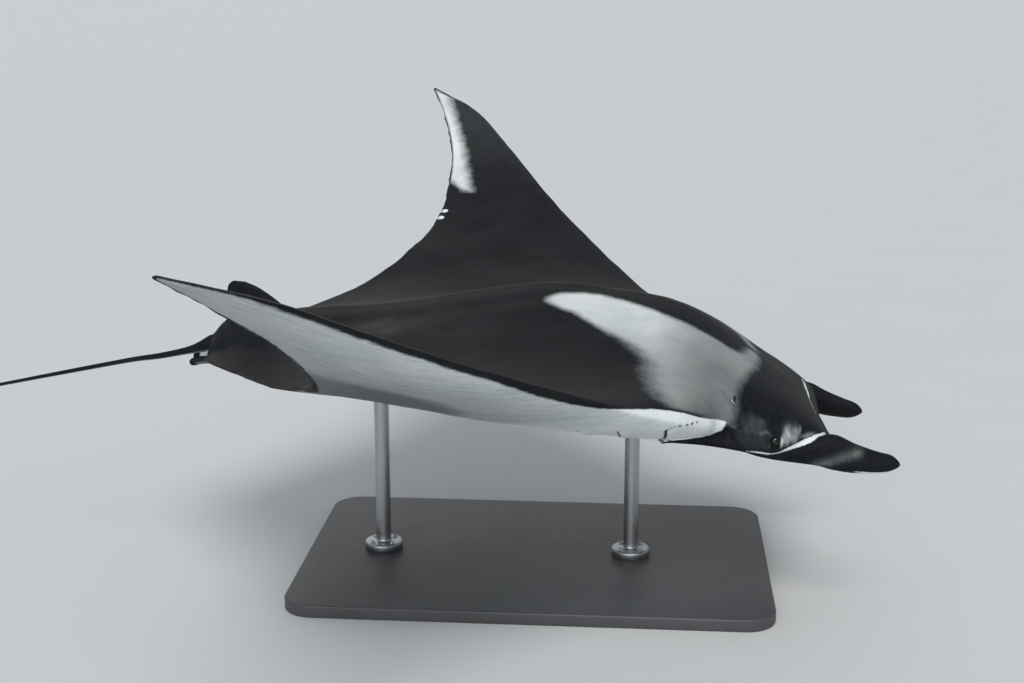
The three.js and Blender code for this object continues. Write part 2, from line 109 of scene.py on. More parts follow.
# Limbs are rows of forward, sideways, height, half width, half height and lean, in thousandths of a radian.
CEPHALIC_FIN = thousandths(
    (-50, 92.5, -11.2, 2.2, 1.8, 150), (-36, 90.5, -9.8, 4.5, 3.4, 200), (-20, 86.5, -8.6, 5.8, 6.4, 260),
    (-4, 82, -7.1, 6.6, 10.2, 300), (7, 79.5, -7.8, 6.8, 12.2, 320), (21.5, 78, -11.2, 6.4, 10.1, 330),
    (37, 75.7, -13.3, 5.2, 7.7, 330), (47.5, 73.7, -13.5, 4.3, 6, 320),
    (52.9, 72.5, -13.9, 3.2, 4.2, 320),
)
TAIL = thousandths(
    (-418, 0, 6, 12, 12, 0), (-433.5, 0, 8.3, 8.5, 10.2, 0), (-443, 0, 5.8, 5.2, 6.4, 0),
    (-457.5, 0, -0.4, 2.7, 3.1, 0), (-480, 0, -7.2, 2.2, 2.3, 0), (-502.5, 0, -12.6, 1.9, 1.9, 0),
    (-555.6, 0, -27.8, 1.6, 1.6, 0), (-601.6, 0, -41.2, 1.3, 1.3, 0), (-660, 0, -58, 1, 1, 0),
    (-720, 0, -72, 0.6, 0.6, 0),
)
PELVIC_FIN = thousandths(
    (-415, 20, -1.5, 12, 4.5, 100), (-427, 22, -0.6, 11, 3.2, 100), (-436, 22, -0.9, 8, 2.4, 100),
    (-443, 21, -1.8, 3.5, 1.4, 100),
)
CLASPER = thousandths(
    (-420, 8.5, -3.5, 3.4, 3.4, 0), (-434, 9.5, -3.8, 2.6, 2.6, 0), (-445, 10.5, -5, 2.3, 2.3, 0),
    (-449.5, 11, -5.8, 2.7, 2.9, 0), (-454.5, 11.3, -6.4, 2.7, 2.9, 0),
)
# Height, front, back, half thickness.
DORSAL_FIN = thousandths(
    (18, -369, -430.5, 4.2), (30, -376.5, -430.2, 4), (38.5, -387.8, -430.6, 3.4),
    (46, -398.7, -431, 2.7), (51.5, -408.5, -430.3, 2), (54.8, -417, -427.8, 1.2),
)

# ---- curves


def ease(x, low, high):
    """Rises smoothly from 0 to 1."""
    t = np.clip((x - low) / (high - low), 0, 1)
    return t * t * (3 - 2 * t)


def fade(x, low, high):
    """Falls smoothly from 1 to 0."""
    return 1 - ease(x, low, high)


def within(x, start, full, still_full, end):
    """Rises smoothly from 0 to 1 and falls again."""
    return ease(x, start, full) * fade(x, still_full, end)


def hill(x, middle, width):
    return np.exp(-(((x - middle) / width) ** 2))


def through(rows):
    """A smooth curve through rows of t and value, level past its ends."""
    rows = rows[np.argsort(rows[:, 0])]
    spans = np.diff(rows[:, 0])
    slopes = np.diff(rows[:, 1]) / spans
    tangents = np.empty(len(rows))
    tangents[0], tangents[-1] = slopes[0], slopes[-1]
    tangents[1:-1] = (slopes[:-1] * spans[1:] + slopes[1:] * spans[:-1]) / (spans[:-1] + spans[1:])

    def curve(t):
        i = np.clip(np.searchsorted(rows[:, 0], t) - 1, 0, len(rows) - 2)
        k = np.clip((t - rows[i, 0]) / spans[i], 0, 1)
        start = rows[i, 1] * (1 + 2 * k) * (1 - k) ** 2 + tangents[i] * spans[i] * k * (1 - k) ** 2
        end = rows[i + 1, 1] * k * k * (3 - 2 * k) + tangents[i + 1] * spans[i] * k * k * (k - 1)
        return start + end

    return curve


def by_station(rows, column):
    return through(rows[:, [0, column]])


def by_row(rows):
    """A curve for each column of a table, over its evenly spaced rows from 0 to 1."""
    steps = np.linspace(0, 1, len(rows))
    return [through(np.stack([steps, column], 1)) for column in rows.T]


front_forward, front_sideways, front_partner, front_height = by_row(FRONT_EDGE)
leading_edge = through(FRONT_EDGE[SHOULDER_ROW:, [1, 0]])
back_forward = through(BACK_EDGE)
back_height, back_reach = by_station(BACK, 1), by_station(BACK, 2)
belly_height, belly_reach = by_station(BELLY, 1), by_station(BELLY, 2)
back_curl = through(BACK_CURL)
wing_above, wing_below = by_station(WING, 1), by_station(WING, 2)


def round_off(distance, radius):
    """Quarter-round that rises from 0 at an edge to 1 at the given radius."""
    return np.sqrt(1 - (1 - np.clip(distance / radius, 0, 1)) ** 2)


def foil(c):
    """Half thickness of a fin section at share c of its chord, 1 at its thickest."""
    return 10 * (0.2969 * np.sqrt(c) - 0.126 * c - 0.3516 * c**2 + 0.2843 * c**3 - 0.1036 * c**4)


def lumps(points, scale, seed):
    """Smooth noise from -1 to 1 at points, with lumps about 1 / scale across."""
    table = np.random.RandomState(seed).uniform(-1, 1, 4096)
    scaled = points * scale
    low = np.floor(scaled).astype(np.int64)
    part = scaled - low
    part = part * part * (3 - 2 * part)
    total = np.zeros(len(points))
    for corner in np.ndindex(2, 2, 2):
        value = table[((low + corner) @ (73856093, 19349663, 83492791)) % 4096]
        total += value * np.where(corner, part, 1 - part).prod(1)
    return total


def line_distance(points, line):
    """Distance from points to a line of corners, and the share along it, in any dimensions."""
    nearest = np.full(len(points), np.inf)
    place_along = np.zeros(len(points))
    for k, (start, end) in enumerate(zip(line[:-1], line[1:])):
        along = end - start
        offset = points - start
        share = np.clip(offset @ along / (along @ along), 0, 1)
        distance = np.linalg.norm(offset - share[:, None] * along, axis=1)
        closer = distance < nearest
        nearest = np.where(closer, distance, nearest)
        place_along = np.where(closer, k + share, place_along)
    return nearest, place_along / (len(line) - 1)


def polygon_distance(points, corners):
    """Signed distance to a polygon in two dimensions, positive inside."""
    inside = np.zeros(len(points), bool)
    for start, end in zip(corners, np.roll(corners, -1, axis=0)):
        along = end - start
        crosses = (start[1] > points[:, 1]) != (end[1] > points[:, 1])
        slope = along[0] / along[1] if along[1] else 0
        inside ^= crosses & (points[:, 0] < start[0] + (points[:, 1] - start[1]) * slope)
    nearest, _ = line_distance(points, np.append(corners, corners[:1], axis=0))
    return np.where(inside, nearest, -nearest)


# ---- pose

ARC_STEP, ARC_STEPS = 0.0025, 220
arc_slopes = WING_RISE * np.tanh((np.arange(ARC_STEPS) + 0.5) * ARC_STEP / RISE_REACH)
arc_at = np.arange(ARC_STEPS + 1) * ARC_STEP
arc_out = np.append(0, np.cumsum(np.cos(arc_slopes) * ARC_STEP))
arc_up = np.append(0, np.cumsum(np.sin(arc_slopes) * ARC_STEP))


def bend(flat):
    """Raises the wings of flat points."""
    forward, sideways, up = flat[:, 0], np.abs(flat[:, 1]), flat[:, 2]
    share = fade(forward, BEND_FULL, BEND_NONE)
    middle = (leading_edge(sideways) + back_forward(sideways)) / 2
    twist = math.tan(WING_TWIST) * ease(sideways, TWIST_FROM, TWIST_TO)
    height = up + twist * (forward - middle)
    slope = WING_RISE * np.tanh(sideways / RISE_REACH) * share
    out = sideways + (np.interp(sideways, arc_at, arc_out) - sideways) * share
    rise = np.interp(sideways, arc_at, arc_up) * share
    side = np.where(flat[:, 1] < 0, -1, 1)
    return np.stack([forward, side * (out - np.sin(slope) * height), rise + np.cos(slope) * height], 1)


def pitched(points):
    turn, lean = math.cos(NOSE_DOWN), math.sin(NOSE_DOWN)
    x, y, z = points.T
    return np.stack([turn * x + lean * z, y, turn * z - lean * x], 1)


def centre_of(node):
    low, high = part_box(node)
    return np.array((low + high) / 2)


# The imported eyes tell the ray's size and place.
eye_centres = {side: centre_of(f"eye_{side}") for side in ("left", "right")}
raised_eye = pitched(bend(EYE_PLACE[None]))[0]
DISC_WIDTH = (eye_centres["left"][1] - eye_centres["right"][1]) / (2 * raised_eye[1])
ORIGIN = eye_centres["left"] - DISC_WIDTH * raised_eye


def place(flat):
    return DISC_WIDTH * pitched(bend(flat)) + ORIGIN


# ---- meshes


def add_to_scene(name, data):
    made = bpy.data.objects.new(name, data)
    bpy.context.scene.collection.objects.link(made)
    return made


def mesh_from(name, points, *face_lists):
    """A mesh object from points and arrays of faces, each array with its own number of corners."""
    mesh = bpy.data.meshes.new(name)
    corners = np.concatenate([faces.ravel() for faces in face_lists])
    sizes = np.concatenate([np.full(len(faces), faces.shape[1]) for faces in face_lists])
    mesh.vertices.add(len(points))
    mesh.vertices.foreach_set("co", points.ravel().astype(np.float32))
    mesh.loops.add(len(corners))
    mesh.loops.foreach_set("vertex_index", corners.astype(np.int32))
    mesh.polygons.add(len(sizes))
    mesh.polygons.foreach_set("loop_start", np.append(0, np.cumsum(sizes)[:-1]).astype(np.int32))
    mesh.update(calc_edges=True)
    mesh.validate()
    return add_to_scene(name, mesh)


def read(items, field, width=1, kind=np.int32):
    """A field of all of a mesh's items, as numbers or as rows of the given width."""
    values = np.empty(len(items) * width, kind)
    items.foreach_get(field, values)
    return values.reshape(-1, width) if width > 1 else values


def points_of(made):
    return read(made.data.vertices, "co", 3, np.float32).astype(float)


def set_points(made, points):
    made.data.vertices.foreach_set("co", points.ravel().astype(np.float32))
    made.data.update()


def normals_of(made):
    return read(made.data.vertex_normals, "vector", 3, np.float32).astype(float)


def set_faces(made, field, value, kind):
    made.data.polygons.foreach_set(field, np.full(len(made.data.polygons), value, kind))


def loft(name, loops):
    """A closed mesh through loops of points, an array of loops by corners by 3."""
    count, size = loops.shape[:2]
    i, j = np.meshgrid(np.arange(count - 1), np.arange(size), indexing="ij")
    a, b = i * size + j, i * size + (j + 1) % size
    sides = np.stack([a, b, b + size, a + size], -1).reshape(-1, 4)
    points = np.concatenate([loops.reshape(-1, 3), loops[[0, -1]].mean(1)])
    ring = np.arange(size)
    after = (ring + 1) % size
    start = np.stack([np.full(size, count * size), after, ring], 1)
    last = (count - 1) * size
    end = np.stack([np.full(size, count * size + 1), last + ring, last + after], 1)
    made = mesh_from(name, points, sides, np.concatenate([start, end]))
    face_outward(made)
    return made


def face_outward(made):
    work = bmesh.new()
    work.from_mesh(made.data)
    if work.calc_volume(signed=True) < 0:
        bmesh.ops.reverse_faces(work, faces=work.faces)
    work.to_mesh(made.data)
    work.free()


def apply_modifiers(made):
    final = made.evaluated_get(bpy.context.evaluated_depsgraph_get())
    settled = bpy.data.meshes.new_from_object(final)
    made.modifiers.clear()
    made.data = settled


# ---- flat shape of the disc

HEAD_SPACING, WING_SPACING = 0.0009, 0.0019  # between columns, along the front edge
ROWS = 170  # from the front edge to the back edge, on each face


def column_shares():
    """Shares s of the columns of one side, closest on the head."""
    s = np.linspace(0, 1, 4001)
    steps = np.hypot(np.diff(front_forward(s)), np.diff(front_sideways(s)))
    head_end = (SHOULDER_ROW + 1) / (len(FRONT_EDGE) - 1)
    spacing = HEAD_SPACING + (WING_SPACING - HEAD_SPACING) * ease(s[1:], head_end - 0.1, head_end + 0.1)
    travel = np.append(0, np.cumsum(steps / spacing))
    return np.interp(np.linspace(0, travel[-1], int(travel[-1]) + 1), travel, s)


def row_shares():
    """Shares c of the rows, closest at the front edge and then at the back edge."""
    t = (np.arange(4000) + 0.5) / 4000
    travel = np.append(0, np.cumsum(t * (1.03 - t) ** 0.35))
    return np.interp(np.linspace(0, 1, ROWS + 1), np.linspace(0, 1, 4001), travel / travel[-1])


def disc_point(s, c, upper):
    """Points of the disc: s from the midline (0) to the tip (1), c from front (0) to back (1)."""
    start = np.stack([front_forward(s), front_sideways(s)], -1)
    partner = front_partner(s)
    end = np.stack([back_forward(partner), partner], -1)
    length = np.linalg.norm(end - start, axis=-1)
    spot = start + (end - start) * c[..., None]
    forward, sideways = spot[..., 0], spot[..., 1]
    rim = RIM_HALF * ease(c, 0, 0.1) * (0.2 + 0.8 * round_off((1 - c) * length, 3 * RIM_HALF))
    rounding = round_off(c * length, NOSE_RADIUS) * round_off((1 - c) * length, END_RADIUS)
    back = back_height(forward) * np.exp(-((sideways / back_reach(forward)) ** BACK_POWER))
    belly = belly_height(forward) * np.exp(-((sideways / belly_reach(forward)) ** BELLY_POWER))
    above = wing_above(sideways) * foil(c) + rim + back * rounding
    below = wing_below(sideways) * foil(c) + rim + belly * rounding
    curl = back_curl(sideways) * ease(c, 0.45, 1)
    middle = front_height(s) * fade(c * length, 0, EDGE_REACH) + curl
    return np.stack([forward, sideways, middle + np.where(upper, above, -below)], -1)


def even_shoulder(loops):
    """Evens out the back behind the neck, where the head's columns crowd together."""
    stations = np.arange(0.07, 0.3, 0.001)
    upper = loops[:, : ROWS + 1]
    side = np.stack([np.interp(stations, -column[:, 0], column[:, 1]) for column in upper])
    up = np.stack([np.interp(stations, -column[:, 0], column[:, 2]) for column in upper])
    rest = up - back_height(-stations) * np.exp(-((side / back_reach(-stations)) ** BACK_POWER))
    change = np.empty_like(rest)
    for k in range(len(stations)):
        kernel = hill(side[:, k, None], side[:, k], 0.0045) * np.abs(np.gradient(side[:, k]))
        change[:, k] = kernel @ rest[:, k] / kernel.sum(1) - rest[:, k]
    change *= within(stations, 0.073, 0.083, 0.2, 0.29) * within(side, 0.08, 0.089, 0.106, 0.12)
    for column, shift in zip(upper, change):
        column[:, 2] += np.interp(-column[:, 0], stations, shift)


def make_disc():
    rows = row_shares()
    c = np.append(rows, rows[:0:-1])
    shares, chords = np.meshgrid(column_shares(), c, indexing="ij")
    loops = disc_point(shares, chords, np.arange(len(c)) <= ROWS)
    even_shoulder(loops)
    return loft("skin", np.concatenate([loops[:0:-1] * (1, -1, 1), loops]))


# ---- finer mesh where there is detail

NICKS = thousandths((283, 2.6, 2.8), (295.5, 3.2, 3.5))  # left trailing edge: place, width, depth
SPIRACLE = np.array((-0.0645, 0.097, 0.0205))


def slit_field(points, slit):
    """Share along a gill slit, 0 at its inner end, and signed distance behind it."""
    inner, outer = slit[:2], slit[2:]
    length = np.linalg.norm(outer - inner)
    along = (outer - inner) / length
    offset = np.stack([points[:, 0], np.abs(points[:, 1])], 1) - inner
    share = offset @ along / length
    bow = 0.004 * (1 - (2 * np.clip(share, 0, 1) - 1) ** 2)
    return share, offset[:, 1] * along[0] - offset[:, 0] * along[1] + bow


def to_left(points):
    """Points with those of the right side mirrored to the left."""
    return np.stack([points[:, 0], np.abs(points[:, 1]), points[:, 2]], 1)


def from_spiracle(points):
    return np.linalg.norm(to_left(points) - SPIRACLE, axis=1)


def wants_detail(points):
    x, side, up = to_left(points).T
    eye = (np.abs(x - EYE_PLACE[0]) < 0.0105) & (np.abs(up - EYE_PLACE[2]) < 0.0095) & (side > 0.08)
    fine = eye | (from_spiracle(points) < 0.006)
    near_gills = (up < 0) & (side < 0.17) & (x < -0.09) & (x > -0.23)
    for slit in GILL_SLITS:
        share, behind = slit_field(points, slit)
        fine |= near_gills & (share > -0.05) & (share < 1.05) & (np.abs(behind) < 0.0045)
    for at, width, _ in NICKS:
        fine |= (np.abs(points[:, 1] - at) < 2.5 * width) & (x < back_forward(side) + 0.009)
    return fine


def refine(made, cuts):
    work = bmesh.new()
    work.from_mesh(made.data)
    work.faces.ensure_lookup_table()
    chosen = np.nonzero(wants_detail(read(made.data.polygons, "center", 3, np.float32).astype(float)))[0]
    edges = {edge for i in chosen for edge in work.faces[i].edges}
    bmesh.ops.subdivide_edges(work, edges=list(edges), cuts=cuts, use_grid_fill=True)
    bmesh.ops.triangulate(work, faces=[face for face in work.faces if len(face.verts) > 4])
    work.to_mesh(made.data)
    work.free()


# ---- forms sculpted into the flat disc

EYE_RADIUS = 0.0039
LID_OPENING = (0.0031, 0.0034)  # half length and half height
EYEBALL_SHARE, CORNEA_BULGE = 0.985, 0.04  # of the eye's radius
# Orbit and cheek: rise, then place forward and its reach, then height and its reach.
HEAD_FORMS = thousandths(
    (2.1, -36.5, 12.5, 2.5, 10), (1.6, -52, 7.5, 5, 10), (-0.9, -43.8, 2.2, 3, 9),
    (1.2, -24.5, 5.5, 3.5, 6.5),
)
# Crease across the hind end of the back: forward, sideways.
HIND_CREASE = thousandths((-432, 0), (-429.5, 14), (-425.5, 32))


def hug_eye(points, side_sign):
    """Skin stretched over the eyeball, open in the middle."""
    eye = EYE_PLACE * (1, side_sign, 1)
    near = np.nonzero(np.linalg.norm(points - eye, axis=1) < 3.2 * EYE_RADIUS)[0]
    offset = points[near] - eye
    out = offset[:, 1] * side_sign
    reach = np.hypot(offset[:, 0], offset[:, 2])
    opening = np.hypot(offset[:, 0] / LID_OPENING[0], (offset[:, 2] + 0.1 * offset[:, 0]) / LID_OPENING[1])
    lid = np.sqrt(np.maximum((1.12 * EYE_RADIUS) ** 2 - reach**2, 0)) * (1 + 0.05 * hill(opening, 1.25, 0.22))
    fold = 0.12 * EYE_RADIUS * hill(reach, 1.32 * EYE_RADIUS, 0.13 * EYE_RADIUS)
    softness = 0.25 * EYE_RADIUS
    stretched = softness * np.logaddexp(out / softness, lid / softness)
    stretched = np.where(reach < 2.6 * EYE_RADIUS, stretched, out)
    covered = out + (stretched - out) * fade(reach, 1.5 * EYE_RADIUS, 2.5 * EYE_RADIUS) - fold
    inside = np.sqrt(np.maximum((0.8 * EYE_RADIUS) ** 2 - reach**2, 0))
    open_share = fade(opening, 0.93, 1.05)
    points[near, 1] = eye[1] + side_sign * (covered + (inside - covered) * open_share)


def head_relief(x, side, up):
    """Orbit and cheek, the groove behind the head and the bulge behind the groove."""
    relief = np.zeros(len(x))
    for rise, forward, reach, height, height_reach in HEAD_FORMS:
        relief += rise * hill(x, forward, reach) * hill(up, height, height_reach)
    groove = -0.0665 + 0.0085 * ease(up, -0.003, 0.009)
    relief -= 0.0036 * hill(x, groove, 0.0032) * within(up, -0.012, -0.002, 0.028, 0.04)
    relief += 0.0026 * hill(x, -0.0775, 0.0075) * hill(up, 0.004, 0.013) * fade(side, 0.11, 0.135)
    return relief * ease(side, 0.075, 0.088)


def gill_relief(points):
    """Gill flaps, each lying over the slit behind it."""
    x, side, up = to_left(points).T
    relief = np.zeros(len(points))
    for slit in GILL_SLITS:
        share, behind = slit_field(points, slit)
        ends = within(share, -0.04, 0.1, 0.93, 1.03)
        flap = hill(behind, -0.0006, np.where(behind < 0, 0.0042, 0.0009))
        relief += ends * (0.0013 * flap - 0.0021 * hill(behind, 0.0011, 0.0008))
    return relief * ((side < 0.17) & (up < 0.003) & (x < -0.085) & (x > -0.235))


def mouth_height(side):
    return MOUTH_HEIGHT - 0.0012 * (side / MOUTH_HALF_WIDTH) ** 4


def mouth_relief(x, side, up, below):
    """A wide slit with a soft lip above and below, and the rim of the jaw under the head."""
    line = mouth_height(side)
    front = ease(x, -0.012, -0.003) * fade(side, 0.052, 0.06)
    lips = 0.0007 * hill(up, line + 0.0026, 0.0014) + 0.0011 * hill(up, line - 0.0027, 0.0016)
    jaw = 0.0008 * hill(x, -0.026, 0.006) * fade(side, 0.05, 0.075)
    return front * (lips - 0.0052 * hill(up, line, 0.0008) * below) + jaw * below


def spiracle_relief(points):
    """A short slit under a fold."""
    apart = from_spiracle(points)
    slot = hill(points[:, 0] - 0.12 * (points[:, 2] - SPIRACLE[2]), SPIRACLE[0], 0.0006)
    return 0.0008 * hill(apart, 0, 0.0035) - 0.0016 * slot * fade(apart, 0.0016, 0.0028)


def back_relief(x, side):
    """A low ridge down the middle, and shallow furrows beside it and at the hind end."""
    relief = 0.0006 * hill(side, 0, 0.006) * ease(-x, 0.09, 0.16)
    relief -= 0.0009 * hill(side, 0.03 - 0.04 * (x + 0.2), 0.011) * ease(-x, 0.1, 0.2)
    relief -= 0.0018 * hill(side, 0.0305 + 0.2 * (x + 0.426), 0.0055) * ease(-x, 0.38, 0.4)
    crease, _ = line_distance(np.stack([x, side], 1), HIND_CREASE)
    return relief - 0.0013 * hill(crease, 0, 0.0016)


RAYS_ACROSS, RAYS_ALONG = 900, 55  # fineness of the fin rays


def grain_across(points):
    """Place across the fin rays, which bend outwards on the wings."""
    bow = -points[:, 0] - 0.235
    side = np.abs(points[:, 1])
    return side - 0.8 * (bow + np.hypot(bow, 0.03)) * ease(side, 0.08, 0.22)


def shape_trailing_edges(moved, points, below):
    x, side, _ = to_left(points).T
    left = points[:, 1] > 0
    back = x - back_forward(side)

    # The right wing's edge droops, and its underside is hollow there.
    droop = ~left * hill(side, 0.205, 0.06) * fade(back, 0, 0.07)
    corner = ~left * hill(side, 0.252, 0.035) * fade(back, 0, 0.05)
    hollow = 0.0014 * hill(x, -0.29, 0.035) + 0.0013 * hill(x, -0.315, 0.02) - 0.0019 * hill(x, -0.222, 0.03)
    moved[:, 0] -= 0.0035 * droop + 0.0035 * corner
    moved[:, 2] += -0.0034 * droop - 0.003 * corner + hollow * below * ~left * hill(side, 0.19, 0.05)

    # Both edges wave a little, and the left one has two nicks.
    edge = fade(back, 0, 0.03) * ease(side, 0.05, 0.12)
    strip = np.stack([side, np.where(left, 3.0, 0.0), 0 * side], 1)
    moved[:, 0] += edge * (0.0009 * lumps(strip, 45, 3) + 0.0004 * lumps(strip, 160, 4))
    for at, width, depth in NICKS:
        moved[:, 0] += left * depth * hill(side, at, width * 0.55) * fade(back, 0, 0.007)


def sculpt(points, normals):
    x, side, up = to_left(points).T
    below = ease(-normals[:, 2], -0.2, 0.5)
    relief = head_relief(x, side, up) + gill_relief(points) * below + mouth_relief(x, side, up, below)
    relief += spiracle_relief(points) + back_relief(x, side) * (1 - below)
    rays = np.sin(grain_across(points) * RAYS_ACROSS + 5 * lumps(points, 30, 5))
    relief += 0.00009 * below * ease(side, 0.12, 0.2) * rays * ease(0.5 - side, 0, 0.1)
    relief += 0.0005 * lumps(points, 28, 1) + 0.00022 * lumps(points, 90, 2)
    moved = points + normals * relief[:, None]
    shape_trailing_edges(moved, points, below)
    for side_sign in (1, -1):
        hug_eye(moved, side_sign)
    return moved


# ---- limbs

LIMB_KINDS = {"disc": 0, "cephalic": 1, "dorsal": 2, "tail": 3, "pelvic": 4, "clasper": 5}
ROLL_EDGE = math.radians(232)  # where the furled fin's free edge lies, round its section


def limb_loops(rows, side, sections, corners, end_radius, surface=None):
    """Oval sections along a limb, its far end rounded; surface(t, angle) swells the section."""
    t = np.sin(np.linspace(0, 1, sections + 1) * math.pi / 2)  # closer together towards the far end
    forward, sideways, up, half_width, half_height, lean = (curve(t)[:, None] for curve in by_row(rows))
    centre = np.concatenate([forward, sideways, up], 1)
    travel = np.append(0, np.cumsum(np.linalg.norm(np.diff(centre, axis=0), axis=1)))
    shrink = np.maximum(round_off(travel[-1] - travel, end_radius), 0.02)[:, None]
    angle = np.linspace(0, 2 * math.pi, corners, endpoint=False)[None, :]
    swell = shrink * (surface(t[:, None], angle) if surface else 1)
    across, rise = half_width * np.cos(angle) * swell, half_height * np.sin(angle) * swell
    out = across * np.cos(lean) - rise * np.sin(lean)
    high = across * np.sin(lean) + rise * np.cos(lean)
    return np.stack([forward + 0 * out, side * (sideways + out), up + high], -1)


def held(rows, back, down):
    """The rows of a left limb that is held further back and lower than the right one."""
    share = np.linspace(0, 1, len(rows))[:, None]
    return rows - share**2 * (back, 0, 0, 0, 0, 0) - (0, 0, down, 0, 0, 0)


def furled(t, angle):
    """The fin is a blade rolled up lengthways: its free edge lies over the roll."""
    turn = np.mod(angle - ROLL_EDGE - 0.35 * t, 2 * math.pi) / (2 * math.pi)
    step = 0.13 * (turn - 0.5) - 0.14 * hill(turn, 0, 0.025) - 0.14 * hill(turn, 1, 0.012)
    pleats = 0.012 * np.sin(7 * angle + 3 * t) * ease(t, 0.2, 0.6)
    return 1 + ease(t, 0.12, 0.4) * step + pleats


def tail_surface(t, angle):
    """The low case of the caudal spine sits on top of the tail root."""
    return 1 + 0.1 * hill(angle, math.pi / 2, 0.7) * hill(t, 0.15, 0.03)


def dorsal_loops():
    t = np.linspace(0, 1, 61)
    up, front, back, half = (curve(t)[:, None] for curve in by_row(DORSAL_FIN))
    round_top = np.maximum(round_off((1 - t) * 0.02, 0.006), 0.03)[:, None]
    angle = np.linspace(0, 2 * math.pi, 72, endpoint=False)[None, :]
    along = (1 - np.cos(angle)) / 2
    length = (back - front) * (0.75 + 0.25 * round_top)
    forward = (front + back) / 2 + length * (along - 0.5)
    lens = np.sign(np.sin(angle)) * foil(along) * half * round_top
    return np.stack([forward, lens, up + 0 * lens], -1)


def make_limbs():
    """Each limb's kind and mesh."""
    left_fin, left_clasper = held(CEPHALIC_FIN, 0.006, 0.0055), held(CLASPER, 0.0035, 0.0015)
    shapes = []
    for side, fin, clasper in ((1, left_fin, left_clasper), (-1, CEPHALIC_FIN, CLASPER)):
        shapes.append(("cephalic", limb_loops(fin, side, 170, 120, 0.011, furled)))
        shapes.append(("pelvic", limb_loops(PELVIC_FIN, side, 60, 64, 0.004)))
        shapes.append(("clasper", limb_loops(clasper, side, 60, 40, 0.003)))
    shapes.append(("tail", limb_loops(TAIL, 1, 420, 36, 0.002, tail_surface)))
    shapes.append(("dorsal", dorsal_loops()))
    return [(kind, loft(kind, loops)) for kind, loops in shapes]


def join_limbs(disc, limbs):
    """Makes one closed skin of the disc and its limbs. A face's material index keeps its kind."""
    for kind, made in (("disc", disc), *limbs):
        for _ in LIMB_KINDS:
            made.data.materials.append(None)
        set_faces(made, "material_index", LIMB_KINDS[kind], np.int32)
    for kind, made in limbs:
        union = disc.modifiers.new(kind, "BOOLEAN")
        union.operation, union.object, union.solver = "UNION", made, "MANIFOLD"
    apply_modifiers(disc)
    for _, made in limbs:
        bpy.data.objects.remove(made)


def kinds_of(made):
    """Each vertex's highest and lowest kind among the faces round it."""
    mesh = made.data
    of_corner = np.repeat(read(mesh.polygons, "material_index"), read(mesh.polygons, "loop_total"))
    corners = read(mesh.loops, "vertex_index")
    highest = np.zeros(len(mesh.vertices), np.int32)
    lowest = np.full(len(mesh.vertices), len(LIMB_KINDS), np.int32)
    np.maximum.at(highest, corners, of_corner)
    np.minimum.at(lowest, corners, of_corner)
    return highest, lowest


def relax(made, weight, steps):
    """Draws each point towards the middle of its neighbours, by its weight."""
    points, pairs = points_of(made), read(made.data.edges, "vertices", 2)
    moving = np.nonzero(weight)[0]
    a, b = pairs[weight[pairs].max(1) > 0].T
    count = np.bincount(a, minlength=len(points)) + np.bincount(b, minlength=len(points))
    for _ in range(steps):
        for axis in range(3):
            values = points[:, axis]
            total = np.bincount(a, values[b], len(points)) + np.bincount(b, values[a], len(points))
            values[moving] += weight[moving] * (total[moving] / count[moving] - values[moving])
    set_points(made, points)


BLEND_REACH = thousandths(0, 4.5, 4, 6, 3.5, 1.6)  # round each kind of limb, in the order of LIMB_KINDS


def blend_seams(made):
    """Smooths the skin where a limb leaves the body."""
    points = points_of(made)
    highest, lowest = kinds_of(made)
    seam = np.nonzero(highest != lowest)[0]
    tree = KDTree(len(seam))
    for i in seam:
        tree.insert(points[i], i)
    tree.balance()
    low, high = points[seam].min(0) - 0.01, points[seam].max(0) + 0.01
    weight = np.zeros(len(points))
    for i in np.nonzero(((points > low) & (points < high)).all(1))[0]:
        _, at, distance = tree.find(points[i])
        weight[i] = max(1 - distance / BLEND_REACH[highest[at]], 0)
    relax(made, 0.7 * ease(weight, 0, 0.7), 30)


def soften_shoulders(made):
    """Smooths the crease where the head's side runs into the front of the shoulder."""
    x, side, up = to_left(points_of(made)).T
    weight = within(-x, 0.071, 0.077, 0.16, 0.19) * within(side, 0.08, 0.088, 0.11, 0.122)
    relax(made, 0.7 * weight * ease(up, -0.006, -0.001), 60)


# ---- markings, as fields on the flat skin

# Height on the leading edge where the white belly ends, by place sideways.
WHITE_TOP = through(thousandths(
    (95, 4.2), (101, 4.7), (122, 4.4), (135, 5.3), (152, 6.4), (167, 6.1), (187, 3.4), (206, 0.2),
    (220, -1.9), (234, -3.1), (250, -3.6), (300, -2.7), (360, -2.3), (420, -2), (450, -1.7), (475, -0.8),
    (487, -0.4), (500, -0.5),
))
# Where the white belly ends behind the jaw: under the head by place sideways, up its side by height.
JAW_LIMIT_BELOW = thousandths((0, -85), (30, -89), (60, -100), (87.5, -110.3))
JAW_LIMIT_SIDE = thousandths(
    (-16.5, -110.3), (-14.1, -100.7), (-12.5, -92.2), (-10.3, -84.5), (-7.7, -78.2), (-2.4, -70.6),
    (4.2, -67.7),
)
# Darker hind part of the underside, partly its real charcoal margin and partly painted shade: place sideways,
# its width.
MARGIN_AND_PAINTED_SHADE = through(thousandths(
    (0, 40), (100, 85), (150, 115), (210, 122), (240, 105), (270, 80), (300, 52), (340, 22), (400, 0),
    (500, 0),
))
